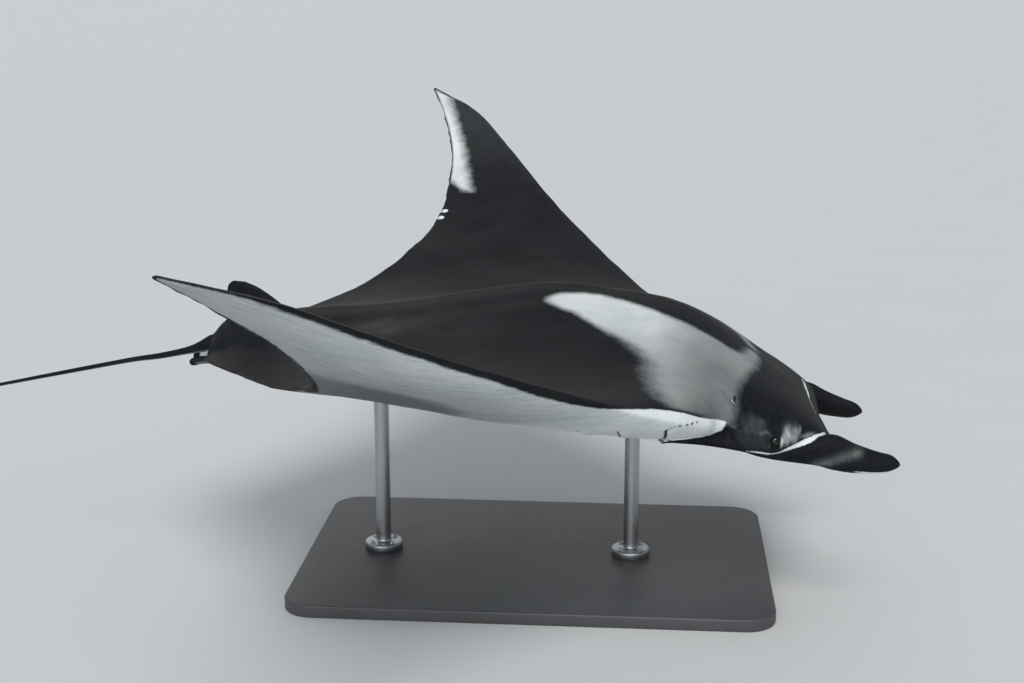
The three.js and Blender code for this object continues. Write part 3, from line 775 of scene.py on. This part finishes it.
# Pale shoulder patch of the back: forward, sideways, once round.
SHOULDER_PATCH = thousandths(
    (-44, 4), (-50, 4), (-53, 12), (-55.5, 25), (-60, 36), (-68, 40), (-88, 39.5), (-103, 37.5),
    (-117, 33), (-131.4, 26.8), (-145.7, 21.2), (-160, 17.8), (-174, 18.5), (-188, 22.5), (-196.5, 29),
    (-196.5, 34.5), (-186.6, 44), (-175.8, 49.2), (-168.4, 55.5), (-157.5, 65), (-143, 75), (-129, 86.5),
    (-121.5, 100), (-121.5, 115), (-118, 133), (-113, 150), (-105, 158), (-95, 150), (-83, 125),
    (-71.5, 105), (-62.8, 96.5), (-61.5, 85), (-54, 60), (-48, 40), (-44.5, 20),
)
# Pale patch by the trailing edge of a wing tip: place sideways, width.
TIP_PATCH = through(thousandths(
    (300, 30), (330, 21), (354, 16.6), (380, 12.8), (410, 10.2), (460, 10.8), (485, 14), (500, 30),
))
TIP_PATCH_END = thousandths((0, 349), (6, 343), (12, 332), (22, 328))  # width reached, place sideways
# White lines, as rows of forward, sideways, height, half width: along the root of a cephalic fin and
# below its hind end, drawn for the right side, and across the front of the head from the left.
FIN_ROOT_LINE = thousandths(
    (4.2, -63.5, 1.9, 0.3), (0.3, -68.7, 2.1, 0.6), (-3.2, -75, 2.4, 0.9), (-7.5, -80.2, 1.7, 1.5),
    (-12.5, -84.5, 0.4, 1.7), (-17.5, -88.5, -1, 1.5), (-22.9, -92.8, -2.7, 1.3), (-27.5, -95.5, -4.5, 1),
    (-32, -96.5, -6.5, 0.7), (-36.2, -96.8, -8, 0.7), (-41, -97.5, -8.3, 1), (-46, -97.8, -8.9, 0.8),
    (-50.8, -97.6, -9.9, 0.3), (-53.5, -97.2, -10.6, 0),
)
SECOND_STRAND = thousandths((-36.2, -96.6, -8.4, 0.3), (-40.5, -96.4, -10.3, 0.3), (-43.5, -96, -10.7, 0))
FRONT_LINE = thousandths(
    (-3.4, 57, 5.7, 0.6), (-2.6, 47, 5.3, 1.2), (-2.6, 30, 5.1, 1.6), (-2.6, 18, 4.8, 1),
    (-2.6, 8, 4.7, 0.5), (-2.6, -12, 4.7, 0.4), (-2.6, -30, 4.8, 0.3), (-2.7, -36, 4.9, 0),
)
# The fold of skin behind the eye: forward, height.
EYE_FOLD = thousandths((-45.7, 4.3), (-42.5, 6.8), (-39.5, 6.4), (-37.8, 2.3), (-39, -2.7))
FIN_SMUDGE = thousandths((-5.7, -15.2), (4, -12.2), (13.7, -8.5), (22.5, -5.5))
# Dashes from the first gill slit forward along the shoulder: forward, sideways, height.
SHOULDER_DASHES = thousandths(
    (-111, 145.7, -8.1), (-108.6, 156.6, -5.1), (-104.4, 156.4, -2.8), (-94.5, 143.1, -0.2),
    (-88, 129, 2.3),
)
WING_SCRATCH = thousandths((-311.2, 459.4), (-308.3, 459.5), (-305, 461))
# Dark spots on the abdomen: forward, sideways, radius.
ABDOMEN_SPOTS = thousandths(
    (-262, 21, 5.2), (-271, -28, 4.6), (-288, 46, 6), (-292, 6, 4.2), (-301, -41, 5.6), (-314, 24, 4.8),
    (-326, -14, 5.4), (-333, 56, 4.4), (-345, -46, 5), (-352, 12, 4), (-248, -52, 4), (-238, 4, 3.4),
)
# Soft pale spots on the side of the head, before and behind the eye, and the painted shade round the eye,
# which takes the pale away there:
# strength, then forward, height, half length and half height in thousandths, then power.
FRONT_SPOTS = (
    (0.42, -27.5, 5, 3.1, 5.6, 3.5), (0.34, -21.8, 4.8, 2.8, 5, 3.5), (0.06, -26.2, 8.5, 5.5, 4.2, 2),
    (0.7, -30.8, 1.8, 1.1, 3.4, 3), (0.28, -18.3, 7.6, 0.9, 2.1, 3), (0.22, -12.5, 3.6, 5.8, 1.6, 3),
)
REAR_SPOTS = ((0.06, -51.5, 8.5, 7.8, 6.2, 4), (0.07, -45.5, 12.6, 2.6, 1.7, 2), (0.04, -50, 1, 12, 8.5, 3))
EYE_SHADE = ((0.8, -35.5, 1.6, 5.8, 6.2, 4),)


class SkinPoints:
    """The points of the skin and what its markings are measured from."""

    def __init__(self, points, normals, kinds):
        self.points, self.normals = points, normals
        self.x, self.y, self.up = points.T
        self.side = np.abs(self.y)
        self.left = self.y > 0
        self.top = normals[:, 2] >= 0
        self.outward = normals[:, 1] * np.where(self.left, 1, -1) > 0
        self.from_back = self.x - back_forward(self.side)
        self.limb = {name: kinds == number for name, number in LIMB_KINDS.items()}
        self.body, self.fin = self.limb["disc"], self.limb["cephalic"]


NO_LINE = -0.01


def marked(field, where, mark):
    """A field with a mark added, in one area of the skin."""
    return np.where(where, np.maximum(field, mark), field)


def belly_field(p):
    """Distance inside the white of the belly, negative in the black."""
    below = ~p.top
    inboard = np.maximum(leading_edge(p.side) - p.x - 0.006, 0)
    edge = WHITE_TOP(p.side) - p.up + np.where(below, inboard, -inboard)
    flank = np.minimum(edge, np.where(below, 0.03, WHITE_TOP(0.096) - p.up))
    by_head = (p.side > 0.0935) & (p.x > -0.125)
    middle = np.where(by_head, flank, np.where(below, 0.01, -0.02))
    field = np.where(p.side > 0.118, edge, middle)
    limit_below, limit_side = np.interp(p.side, *JAW_LIMIT_BELOW.T), np.interp(p.up, *JAW_LIMIT_SIDE.T)
    limit = limit_below + (limit_side - limit_below) * ease(p.side, 0.084, 0.09)
    rim = 0.0024 + 0.003 * fade(p.side, 0.1, 0.3) - 0.0006 * ease(p.side, 0.42, 0.47)
    field = np.minimum(np.minimum(field, 0.55 * (limit - p.x)), p.from_back - rim)
    return np.where(p.body, field, -0.02)


def limb_white(p, field):
    """The belly's field with the white of the tail, the pelvic fins and the claspers."""
    tilt = p.normals[:, 2]
    field = np.where(p.limb["tail"] | p.limb["pelvic"], -0.003 - 0.006 * tilt, field)
    clasper = np.where(p.left, 0.004, -0.004) * tilt - 0.0005
    clasper = np.minimum(clasper, (p.x + np.where(p.left, 0.4525, 0.4492)) * 0.6)
    return np.where(p.limb["clasper"], clasper, field)


def patch_field(p):
    """Distance inside the pale patches of the shoulders and the wing tips, in widths of their edges."""
    patch = np.full(len(p.x), -4.0)
    ahead = (p.x > -0.22) & (p.x < -0.035) & (p.side < 0.19)
    near = p.body & ahead & (p.top | (p.side < 0.12) & (p.up > 0))
    x, side = p.x[near], p.side[near]
    soft = 0.0026 + 0.006 * ease(side, 0.06, 0.12) * ease(-x, 0.066, 0.09)
    patch[near] = polygon_distance(np.stack([x, side], 1), SHOULDER_PATCH) / soft
    patch = np.minimum(patch, (p.up - 0.0015) / 0.001)
    reach = np.minimum(TIP_PATCH(p.side) - p.from_back, p.side - np.interp(p.from_back, *TIP_PATCH_END.T))
    before_edge = leading_edge(p.side) - p.x
    tip = np.minimum((p.from_back - 0.0012) / 0.0009, (before_edge - 0.0045) / 0.0022)
    patch = np.where(p.body & p.top & (p.side > 0.28), np.minimum(reach / 0.0042, tip), patch)
    return np.clip(patch, -4, 4)


def patch_strength(p):
    """The shoulder patches are fainter ahead and towards the sides."""
    strength = 0.8 * (1 - 0.58 * ease(p.x, -0.135, -0.075)) * (1 - 0.35 * ease(p.side, 0.05, 0.09))
    fringe = ease(p.up - WHITE_TOP(p.side), 0.0005, 0.0035)
    strength *= np.maximum(fringe, fade(p.side, 0.112, 0.135))
    return np.where(p.side < 0.2, strength, 0.92)


def inside_line(points, rows):
    """Distance inside a line that is twice as wide sideways; its rows end with a half width."""
    distance, share = line_distance(points * (1, 0.5, 1), rows[:, :3] * (1, 0.5, 1))
    return np.interp(share * (len(rows) - 1), np.arange(len(rows)), rows[:, 3]) - distance


def pale_lines(p):
    """Thin pale lines: fin root, front of the head, spiracle, nicks and the rim of each cephalic fin."""
    line = np.full(len(p.x), NO_LINE)
    near = (p.x > -0.07) & (p.x < 0.012) & (p.body | p.fin)
    seen = p.points[near]
    on_right = to_left(seen) * (1, -1, 1)
    for points, rows in ((on_right, FIN_ROOT_LINE), (on_right, SECOND_STRAND), (seen, FRONT_LINE)):
        line[near] = np.maximum(line[near], inside_line(points, rows))
    before_spiracle = (p.x < SPIRACLE[0]) & (p.up < SPIRACLE[2] - 0.001) & (p.side > 0.09)
    line = marked(line, before_spiracle, 0.0003 - np.abs(from_spiracle(p.points) - 0.0024))
    for at, _, depth in NICKS:
        line = marked(line, p.left, 0.0031 - np.hypot(p.side - at, (p.from_back - depth) * 1.1))
    tilt = p.normals[:, 2] / np.hypot(p.normals[:, 1], p.normals[:, 2])
    fin_rim = np.minimum(0.0012 - np.abs(tilt + 0.76) * 0.005, (p.x - 0.024) * 0.1)
    return marked(line, p.fin & p.outward & (p.x > 0.02), fin_rim)


def ovals(p, rows):
    """Soft ovals on the side of the head, added together."""
    total = np.zeros(len(p.x))
    for strength, forward, height, half_length, half_height, power in rows:
        reach = np.hypot((1000 * p.x - forward) / half_length, (1000 * p.up - height) / half_height)
        total += strength * np.exp(-(reach**power))
    return total


def glow_field(p):
    """Soft pale smudges on the side of the head, the cephalic fins and the wing tips, from 0 to 1."""
    from_side = np.stack([p.x, p.up], 1)
    fold, _ = line_distance(from_side, EYE_FOLD)
    # Painted shade round the eye takes away the pale behind it.
    behind_eye = 0.7 * (ovals(p, REAR_SPOTS) + 0.09 * hill(fold, 0, 0.0011)) * (1 - ovals(p, EYE_SHADE))
    glow = p.body * ease(p.side, 0.07, 0.08) * (ovals(p, FRONT_SPOTS) + behind_eye)
    smudge, _ = line_distance(from_side, FIN_SMUDGE)
    glow += 0.12 * p.fin * p.outward * hill(smudge, 0, 0.003)
    back = p.body * p.top
    glow += 0.035 * back * ease(p.side, 0.32, 0.48)
    beside_fin = ~p.left * hill(p.x, -0.309, 0.017) * hill(p.side, 0.048, 0.015)
    return glow + 0.03 * back * beside_fin * (lumps(p.points, 160, 7) + 1)


def dark_lines(p):
    """Thin dark marks: gill slits, mouth, spiracle, dashes on the right shoulder, a scratch under it."""
    dark = np.full(len(p.x), NO_LINE)
    lower = p.body & ~p.top
    for slit in GILL_SLITS:
        share, behind = slit_field(p.points, slit)
        reach = within(share, -0.04, 0.1, 0.95, 1.03)
        dark = marked(dark, lower & (p.side < 0.17), 0.001 * reach - np.abs(behind - 0.001) - 0.0002)
    mouth = 0.0011 - np.abs(p.up - mouth_height(p.side))
    dark = marked(dark, p.body & (p.x > -0.012) & (p.side < 0.058), mouth)
    opening = 0.0006 - np.abs(p.x - 0.12 * (p.up - SPIRACLE[2]) - SPIRACLE[0])
    dark = marked(dark, from_spiracle(p.points) < 0.0024, opening)
    distance, share = line_distance(to_left(p.points), SHOULDER_DASHES)
    dashes = 0.0004 + ease(share, 0.3, 0.45) * 0.0005 * np.cos(share * 55)
    dark = marked(dark, p.body & ~p.left, dashes - distance)
    distance, share = line_distance(to_left(p.points)[:, :2], WING_SCRATCH)
    return marked(dark, lower & ~p.left, 0.0006 * (1.1 - share) - distance)


def margin_spots_and_painted_shade_field(p):
    """The underside's hind part darkened, partly its real charcoal margin and partly painted shade, and the
    dark spots on the abdomen.
    """
    into_margin_and_painted_shade = MARGIN_AND_PAINTED_SHADE(p.side) - p.from_back
    # Painted shade: the narrow band is partly the real charcoal margin and partly painted shade, and the
    # wide, fainter band ahead of it is painted shade only.
    margin_spots_and_painted_shade = np.maximum(ease(into_margin_and_painted_shade, -0.035, 0.045), 0.7 * ease(into_margin_and_painted_shade, -0.12, 0.02)) * ~p.top
    ragged = 1 + 0.25 * lumps(p.points, 300, 6)
    for forward, sideways, radius in ABDOMEN_SPOTS:
        apart = np.hypot(p.x - forward, (p.y - sideways) * 1.15) / (radius * ragged)
        margin_spots_and_painted_shade = np.maximum(margin_spots_and_painted_shade, 1.5 * p.body * ~p.top * fade(apart, 0.75, 1.25))
    return margin_spots_and_painted_shade


def paint(points, normals, kinds):
    """Fields that the skin's material turns into markings, by name."""
    p = SkinPoints(points, normals, kinds)
    rays = [p.x * RAYS_ALONG, grain_across(points) * RAYS_ACROSS, p.up * RAYS_ALONG]
    return {
        "flat": points,
        "rays": np.stack(rays, 1),
        "under": limb_white(p, belly_field(p)),
        "patch": patch_field(p),
        "strength": patch_strength(p),
        "pale_line": pale_lines(p),
        "glow": glow_field(p),
        "dark_line": dark_lines(p),
        "margin_spots_and_painted_shade": margin_spots_and_painted_shade_field(p),
        "lower_side": ease(-normals[:, 2], -0.3, 0.3),
    }


def store(made, name, values):
    """Keeps a number or a row of three for each point of a mesh, for its material."""
    kind, field = ("FLOAT_VECTOR", "vector") if values.ndim == 2 else ("FLOAT", "value")
    attribute = made.data.attributes.new(name, kind, "POINT")
    attribute.data.foreach_set(field, values.ravel().astype(np.float32))


# ---- materials


class Shader:
    """Short ways to build a material's nodes. Sockets link to sockets, and plain values are set."""

    def __init__(self, name):
        self.material = bpy.data.materials.new(name)
        self.material.use_nodes = True
        self.tree = self.material.node_tree
        self.surface = self.tree.nodes["Principled BSDF"]

    def add(self, kind, inputs=None, out=0, **settings):
        made = self.tree.nodes.new("ShaderNode" + kind)
        for name, value in settings.items():
            setattr(made, name, value)
        for key, value in (inputs or {}).items():
            self.put(made.inputs[key], value)
        return made.outputs[out]

    def put(self, socket, value):
        if isinstance(value, bpy.types.NodeSocket):
            self.tree.links.new(value, socket)
        else:
            socket.default_value = (*value, 1) if socket.type == "RGBA" else value

    def set(self, **inputs):
        for name, value in inputs.items():
            self.put(self.surface.inputs[name.replace("_", " ")], value)

    def math(self, operation, a, b):
        return self.add("Math", {0: a, 1: b}, operation=operation)

    def times(self, a, b):
        return self.math("MULTIPLY", a, b)

    def plus(self, a, b):
        return self.math("ADD", a, b)

    def larger(self, a, b):
        return self.math("MAXIMUM", a, b)

    def around_zero(self, noise, size):
        return self.times(self.math("SUBTRACT", noise, 0.5), size)

    def attribute(self, name, out=2):
        return self.add("Attribute", out=out, attribute_name=name)

    def object_place(self):
        return self.add("TexCoord", out=3)

    def noise(self, where, scale, detail, roughness=0.55):
        inputs = {"Vector": where, "Scale": scale, "Detail": detail, "Roughness": roughness}
        return self.add("TexNoise", inputs)

    def ramp(self, value, low, high, start=0.0, end=1.0):
        inputs = {"Value": value, "From Min": low, "From Max": high, "To Min": start, "To Max": end}
        return self.add("MapRange", inputs, interpolation_type="SMOOTHSTEP")

    def mix(self, share, a, b):
        return self.add("Mix", {0: share, 6: a, 7: b}, out=2, data_type="RGBA")

    def bump(self, height, distance, strength, normal=None):
        inputs = {"Height": height, "Distance": distance, "Strength": strength}
        if normal:
            inputs["Normal"] = normal
        return self.add("Bump", inputs)


def skin_material():
    s = Shader("ray_skin")
    flat = s.attribute("flat", out=1)
    lower_side = s.attribute("lower_side")
    broad, middle, fine = s.noise(flat, 26, 4), s.noise(flat, 110, 4), s.noise(flat, 520, 3)
    streaks = s.noise(s.attribute("rays", out=1), 1, 3, 0.6)

    # Edges of the white belly are combed into short streaks.
    combed_edge = s.plus(s.around_zero(middle, 0.001), s.around_zero(streaks, 0.001))
    under = s.ramp(s.plus(s.attribute("under"), combed_edge), -0.0004, 0.0006)

    ragged_edge = s.plus(s.around_zero(fine, 0.9), s.around_zero(middle, 1.5))
    patch = s.ramp(s.plus(s.attribute("patch"), ragged_edge), -1.6, 1.6)
    patch = s.times(s.times(patch, s.attribute("strength")), s.ramp(broad, 0.25, 0.6, 0.84, 1))
    line = s.ramp(s.plus(s.attribute("pale_line"), s.around_zero(fine, 0.0011)), -0.0005, 0.0004)
    glow = s.times(s.attribute("glow"), s.ramp(middle, 0.34, 0.62, 0.7, 1.15))
    glow = s.times(glow, s.ramp(fine, 0.3, 0.7, 0.75, 1.15))
    pale = s.larger(s.larger(under, patch), s.larger(line, glow))

    night = s.mix(s.ramp(broad, 0.3, 0.7), (0.006, 0.0072, 0.009), (0.0105, 0.012, 0.0142))
    night = s.mix(s.ramp(fine, 0.42, 0.75, 0, 0.5), night, (0.019, 0.021, 0.023))
    cream = s.mix(s.ramp(broad, 0.3, 0.7), (0.7, 0.76, 0.775), (0.79, 0.825, 0.825))
    cream = s.mix(s.times(s.ramp(streaks, 0.38, 0.72, 0, 0.52), lower_side), cream, (0.42, 0.5, 0.535))
    cream = s.mix(s.ramp(fine, 0.5, 0.8, 0, 0.3), cream, (0.5, 0.56, 0.58))
    # Hind underside darkened: the real charcoal margin and abdomen spots, and painted shade.
    hind_darkening = s.ramp(s.plus(s.attribute("margin_spots_and_painted_shade"), s.around_zero(streaks, 0.35)), 0, 1.25, 0, 0.93)
    cream = s.mix(hind_darkening, cream, (0.03, 0.036, 0.042))
    dark = s.ramp(s.attribute("dark_line"), -0.0004, 0.0004)
    colour = s.mix(s.times(dark, 0.92), s.mix(pale, night, cream), (0.014, 0.014, 0.016))

    roughness = s.plus(s.ramp(pale, 0, 1, 0.5, 0.46), s.around_zero(fine, 0.2))
    rays = s.bump(s.times(streaks, lower_side), 0.003, 0.3)
    pores = s.bump(fine, 0.0018, 0.4, rays)
    grit = s.bump(s.noise(flat, 2600, 2), 0.0006, 0.45, pores)
    s.set(Base_Color=colour, Roughness=roughness, Normal=grit, Specular_IOR_Level=0.06)
    return s.material


def eye_material():
    s = Shader("ray_eye")
    out = s.attribute("out_of_middle")
    fibres = s.noise(s.object_place(), 420, 3)
    iris = s.mix(s.ramp(fibres, 0.35, 0.7), (0.006, 0.005, 0.0045), (0.02, 0.017, 0.014))
    pupil = s.ramp(s.plus(out, s.around_zero(fibres, 0.05)), 0.4, 0.45)
    colour = s.mix(pupil, (0.002, 0.002, 0.003), iris)
    colour = s.mix(s.ramp(out, 0.66, 0.76), colour, (0.012, 0.013, 0.015))
    s.set(Base_Color=colour, Roughness=0.12, Specular_IOR_Level=0.3, Coat_Weight=0.25, Coat_Roughness=0.04)
    return s.material


def paint_material():
    s = Shader("stand_paint")
    where = s.object_place()
    peel, cloud, grain = s.noise(where, 260, 2), s.noise(where, 3, 3), s.noise(where, 1400, 2)
    colour = s.mix(s.ramp(cloud, 0.3, 0.7), (0.045, 0.048, 0.052), (0.058, 0.061, 0.066))
    colour = s.mix(s.ramp(grain, 0.55, 0.75, 0, 0.3), colour, (0.09, 0.093, 0.098))
    s.set(Base_Color=colour, Roughness=s.ramp(peel, 0.3, 0.7, 0.42, 0.55))
    s.set(Normal=s.bump(grain, 0.0003, 0.35, s.bump(peel, 0.0008, 0.25)))
    return s.material


def steel_material():
    s = Shader("stand_steel")
    where = s.object_place()
    long_ways = s.add("VectorMath", {0: where, 1: (40, 40, 1500)}, operation="MULTIPLY")
    brushed, cloud = s.noise(long_ways, 1, 3), s.noise(where, 9, 3)
    colour = s.mix(s.ramp(brushed, 0.3, 0.7), (0.34, 0.35, 0.36), (0.46, 0.47, 0.48))
    roughness = s.plus(s.ramp(brushed, 0.3, 0.7, 0.26, 0.38), s.ramp(cloud, 0.3, 0.7, 0, 0.08))
    s.set(Base_Color=colour, Roughness=roughness, Normal=s.bump(brushed, 0.0002, 0.3), Metallic=1)
    return s.material


# ---- the ray


def dress(made, material, slot, *replaced):
    """Smooth faces, one material, the piece hung under the root, and the imported parts it replaces hidden.
    """
    set_faces(made, "use_smooth", True, bool)
    made.data.materials.clear()
    made.data.materials.append(material)
    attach(made, "root")
    if replaced:
        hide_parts(*replaced)


def make_skin():
    skin = make_disc()
    refine(skin, 3)
    set_points(skin, sculpt(points_of(skin), normals_of(skin)))
    soften_shoulders(skin)
    join_limbs(skin, make_limbs())
    blend_seams(skin)
    points = points_of(skin)
    for name, values in paint(points, normals_of(skin), kinds_of(skin)[0]).items():
        store(skin, name, values)
    set_faces(skin, "material_index", 0, np.int32)
    set_points(skin, place(points))
    face_outward(skin)
    flesh = [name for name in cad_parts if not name.startswith(("eye", "stand"))]
    dress(skin, skin_material(), "skin", *flesh)


def make_eyes():
    material = eye_material()
    radius = DISC_WIDTH * EYE_RADIUS
    tilt = np.linspace(0, math.pi, 49)[:, None]
    turn = np.linspace(0, 2 * math.pi, 64, endpoint=False)[None, :]
    reach = radius * EYEBALL_SHARE * (1 + CORNEA_BULGE * hill(tilt, 0, 0.5))
    out = reach * np.cos(tilt) + 0 * turn
    x, z = reach * np.sin(tilt) * np.cos(turn), reach * np.sin(tilt) * np.sin(turn)
    for name, sign in (("left", 1), ("right", -1)):
        eye = loft(f"eye_{name}_ball", np.stack([x, sign * out, z], -1) + eye_centres[name])
        points = points_of(eye) - eye_centres[name]
        store(eye, "out_of_middle", np.hypot(points[:, 0] * 0.8, points[:, 2] * 1.25) / radius)
        dress(eye, material, "eye", f"eye_{name}")


# ---- the stand

CORNER_RADIUS, CORNER_PARTS = 0.096, 24  # of the base's outline
COLLAR_RADIUS, COLLAR_HEIGHT, ROD_RADIUS = 0.062, 0.028, 0.024
ROD_IN_BELLY = 0.012
SCREW_RADIUS, SCREW_OUT = 0.0075, 0.045  # a screw's own, and its distance from the rod's axis


def make_base():
    low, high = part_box("stand_base")
    outline = []
    for quarter in range(4):
        x = high.x - CORNER_RADIUS if quarter in (0, 3) else low.x + CORNER_RADIUS
        y = high.y - CORNER_RADIUS if quarter < 2 else low.y + CORNER_RADIUS
        angles = (quarter + np.linspace(0, 1, CORNER_PARTS + 1)) * math.pi / 2
        outline.append(np.stack([x + CORNER_RADIUS * np.cos(angles), y + CORNER_RADIUS * np.sin(angles)], 1))
    outline = np.concatenate(outline)
    sides = len(outline)
    points = np.concatenate([np.column_stack([outline, np.full(sides, z)]) for z in (low.z, high.z)])
    i = np.arange(sides)
    after = (i + 1) % sides
    walls, ends = np.stack([i, after, after + sides, i + sides], 1), np.stack([i[::-1], i + sides])
    base = mesh_from("stand_base_plate", points, walls, ends)
    face_outward(base)
    bevel = base.modifiers.new("bevel", "BEVEL")
    bevel.width, bevel.segments = 0.006, 5
    bevel.limit_method, bevel.angle_limit = "ANGLE", math.radians(40)
    apply_modifiers(base)
    dress(base, paint_material(), "stand_base", "stand_base")


def turned_loops(profile, middle, corners):
    """Loops round an upright axis; profile is rows of radius and height, from the bottom up."""
    turn = np.linspace(0, 2 * math.pi, corners, endpoint=False)
    radius, height = (column[:, None] for column in np.transpose(profile))
    x, y = middle[0] + radius * np.cos(turn), middle[1] + radius * np.sin(turn)
    return np.stack([x, y, height + 0 * turn], -1)


def rounded_corner(radius, height, size):
    """Profile rows round an outer top corner."""
    angles = np.linspace(0, math.pi / 2, 5)
    return [(radius - size + size * math.cos(a), height - size + size * math.sin(a)) for a in angles]


def make_rod(place_name, steel):
    low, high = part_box(f"stand_rod_{place_name}")
    middle = np.array(((low.x + high.x) / 2, (low.y + high.y) / 2))
    foot, neck, top = low.z, low.z + COLLAR_HEIGHT, high.z + ROD_IN_BELLY
    profile = [(0.002, foot), (COLLAR_RADIUS - 0.002, foot), (COLLAR_RADIUS, foot + 0.002)]
    profile += rounded_corner(COLLAR_RADIUS, neck, 0.007)
    profile += [(ROD_RADIUS + 0.004, neck), (ROD_RADIUS + 0.0015, neck + 0.0008), (ROD_RADIUS, neck + 0.003)]
    profile += [(ROD_RADIUS, z) for z in np.linspace(neck + 0.01, top, 30)]
    profile += [(0.002, top)]
    rod = loft(f"stand_rod_{place_name}_turned", turned_loops(profile, middle, 72))
    dress(rod, steel, "stand_rod", f"stand_rod_{place_name}")

    # Four screws with round sockets hold the collar down.
    profile = [(0.0001, neck - 0.002), (SCREW_RADIUS, neck - 0.002), (SCREW_RADIUS, neck + 0.0035)]
    profile += rounded_corner(SCREW_RADIUS, neck + 0.005, 0.0015)
    profile += [(0.0042, neck + 0.005), (0.004, neck + 0.002), (0.0001, neck + 0.002)]
    for k in range(4):
        angle = math.pi / 4 + k * math.pi / 2
        spot = middle + SCREW_OUT * np.array((math.cos(angle), math.sin(angle)))
        screw = loft(f"stand_screw_{place_name}_{k + 1}", turned_loops(profile, spot, 24))
        dress(screw, steel, "stand_rod")


make_skin()
make_eyes()
make_base()
steel = steel_material()
for rod in ("front", "rear"):
    make_rod(rod, steel)

# ---- room, light and camera

FLOOR_REACH = 160
CAMERA_PLACE = np.array((-0.1502, -1.1224, 0.3124))  # in disc widths, on the ray before it is pitched
CAMERA_AZIMUTH, CAMERA_DOWN = math.radians(4.66), math.radians(13.86)
LENS, SENSOR = 56.27, 36


def stage_floor():
    corners = FLOOR_REACH * np.array([(-1, -1, 0), (1, -1, 0), (1, 1, 0), (-1, 1, 0)])
    floor = mesh_from("floor", corners, np.array([(0, 1, 2, 3)]))
    s = Shader("pale_floor")
    cloud = s.noise(s.object_place(), 2, 3)
    s.set(Base_Color=s.mix(cloud, (0.6, 0.61, 0.62), (0.63, 0.64, 0.65)), Roughness=0.75)
    floor.data.materials.append(s.material)


def sun(name, compass, height, softness, strength, colour=(1, 1, 1)):
    """Even light from a compass angle and a height above the floor, both in degrees."""
    data = bpy.data.lights.new(name, "SUN")
    data.energy, data.angle, data.color = strength, math.radians(softness), colour
    lamp = add_to_scene(name, data)
    lamp.rotation_euler = (0, math.radians(90 - height), math.radians(compass))


def light_room():
    world = bpy.data.worlds.new("studio")
    world.use_nodes = True
    background = world.node_tree.nodes["Background"]
    background.inputs["Color"].default_value = (0.9, 0.95, 1, 1)
    background.inputs["Strength"].default_value = 0.4
    bpy.context.scene.world = world
    sun("key", -75, 52, 30, 1.7, (1, 0.985, 0.96))
    sun("fill", -100, 9, 60, 1.35)
    sun("back", 110, 35, 60, 0.35)


def make_camera():
    data = bpy.data.cameras.new("camera")
    data.lens, data.sensor_width, data.clip_end = LENS, SENSOR, 400
    camera = add_to_scene("camera", data)
    camera.location = DISC_WIDTH * pitched(CAMERA_PLACE[None])[0] + ORIGIN
    camera.rotation_euler = (math.pi / 2 - CAMERA_DOWN, 0, CAMERA_AZIMUTH)
    bpy.context.scene.camera = camera


stage_floor()
light_room()
make_camera()
bpy.context.scene.view_settings.view_transform = "Standard"
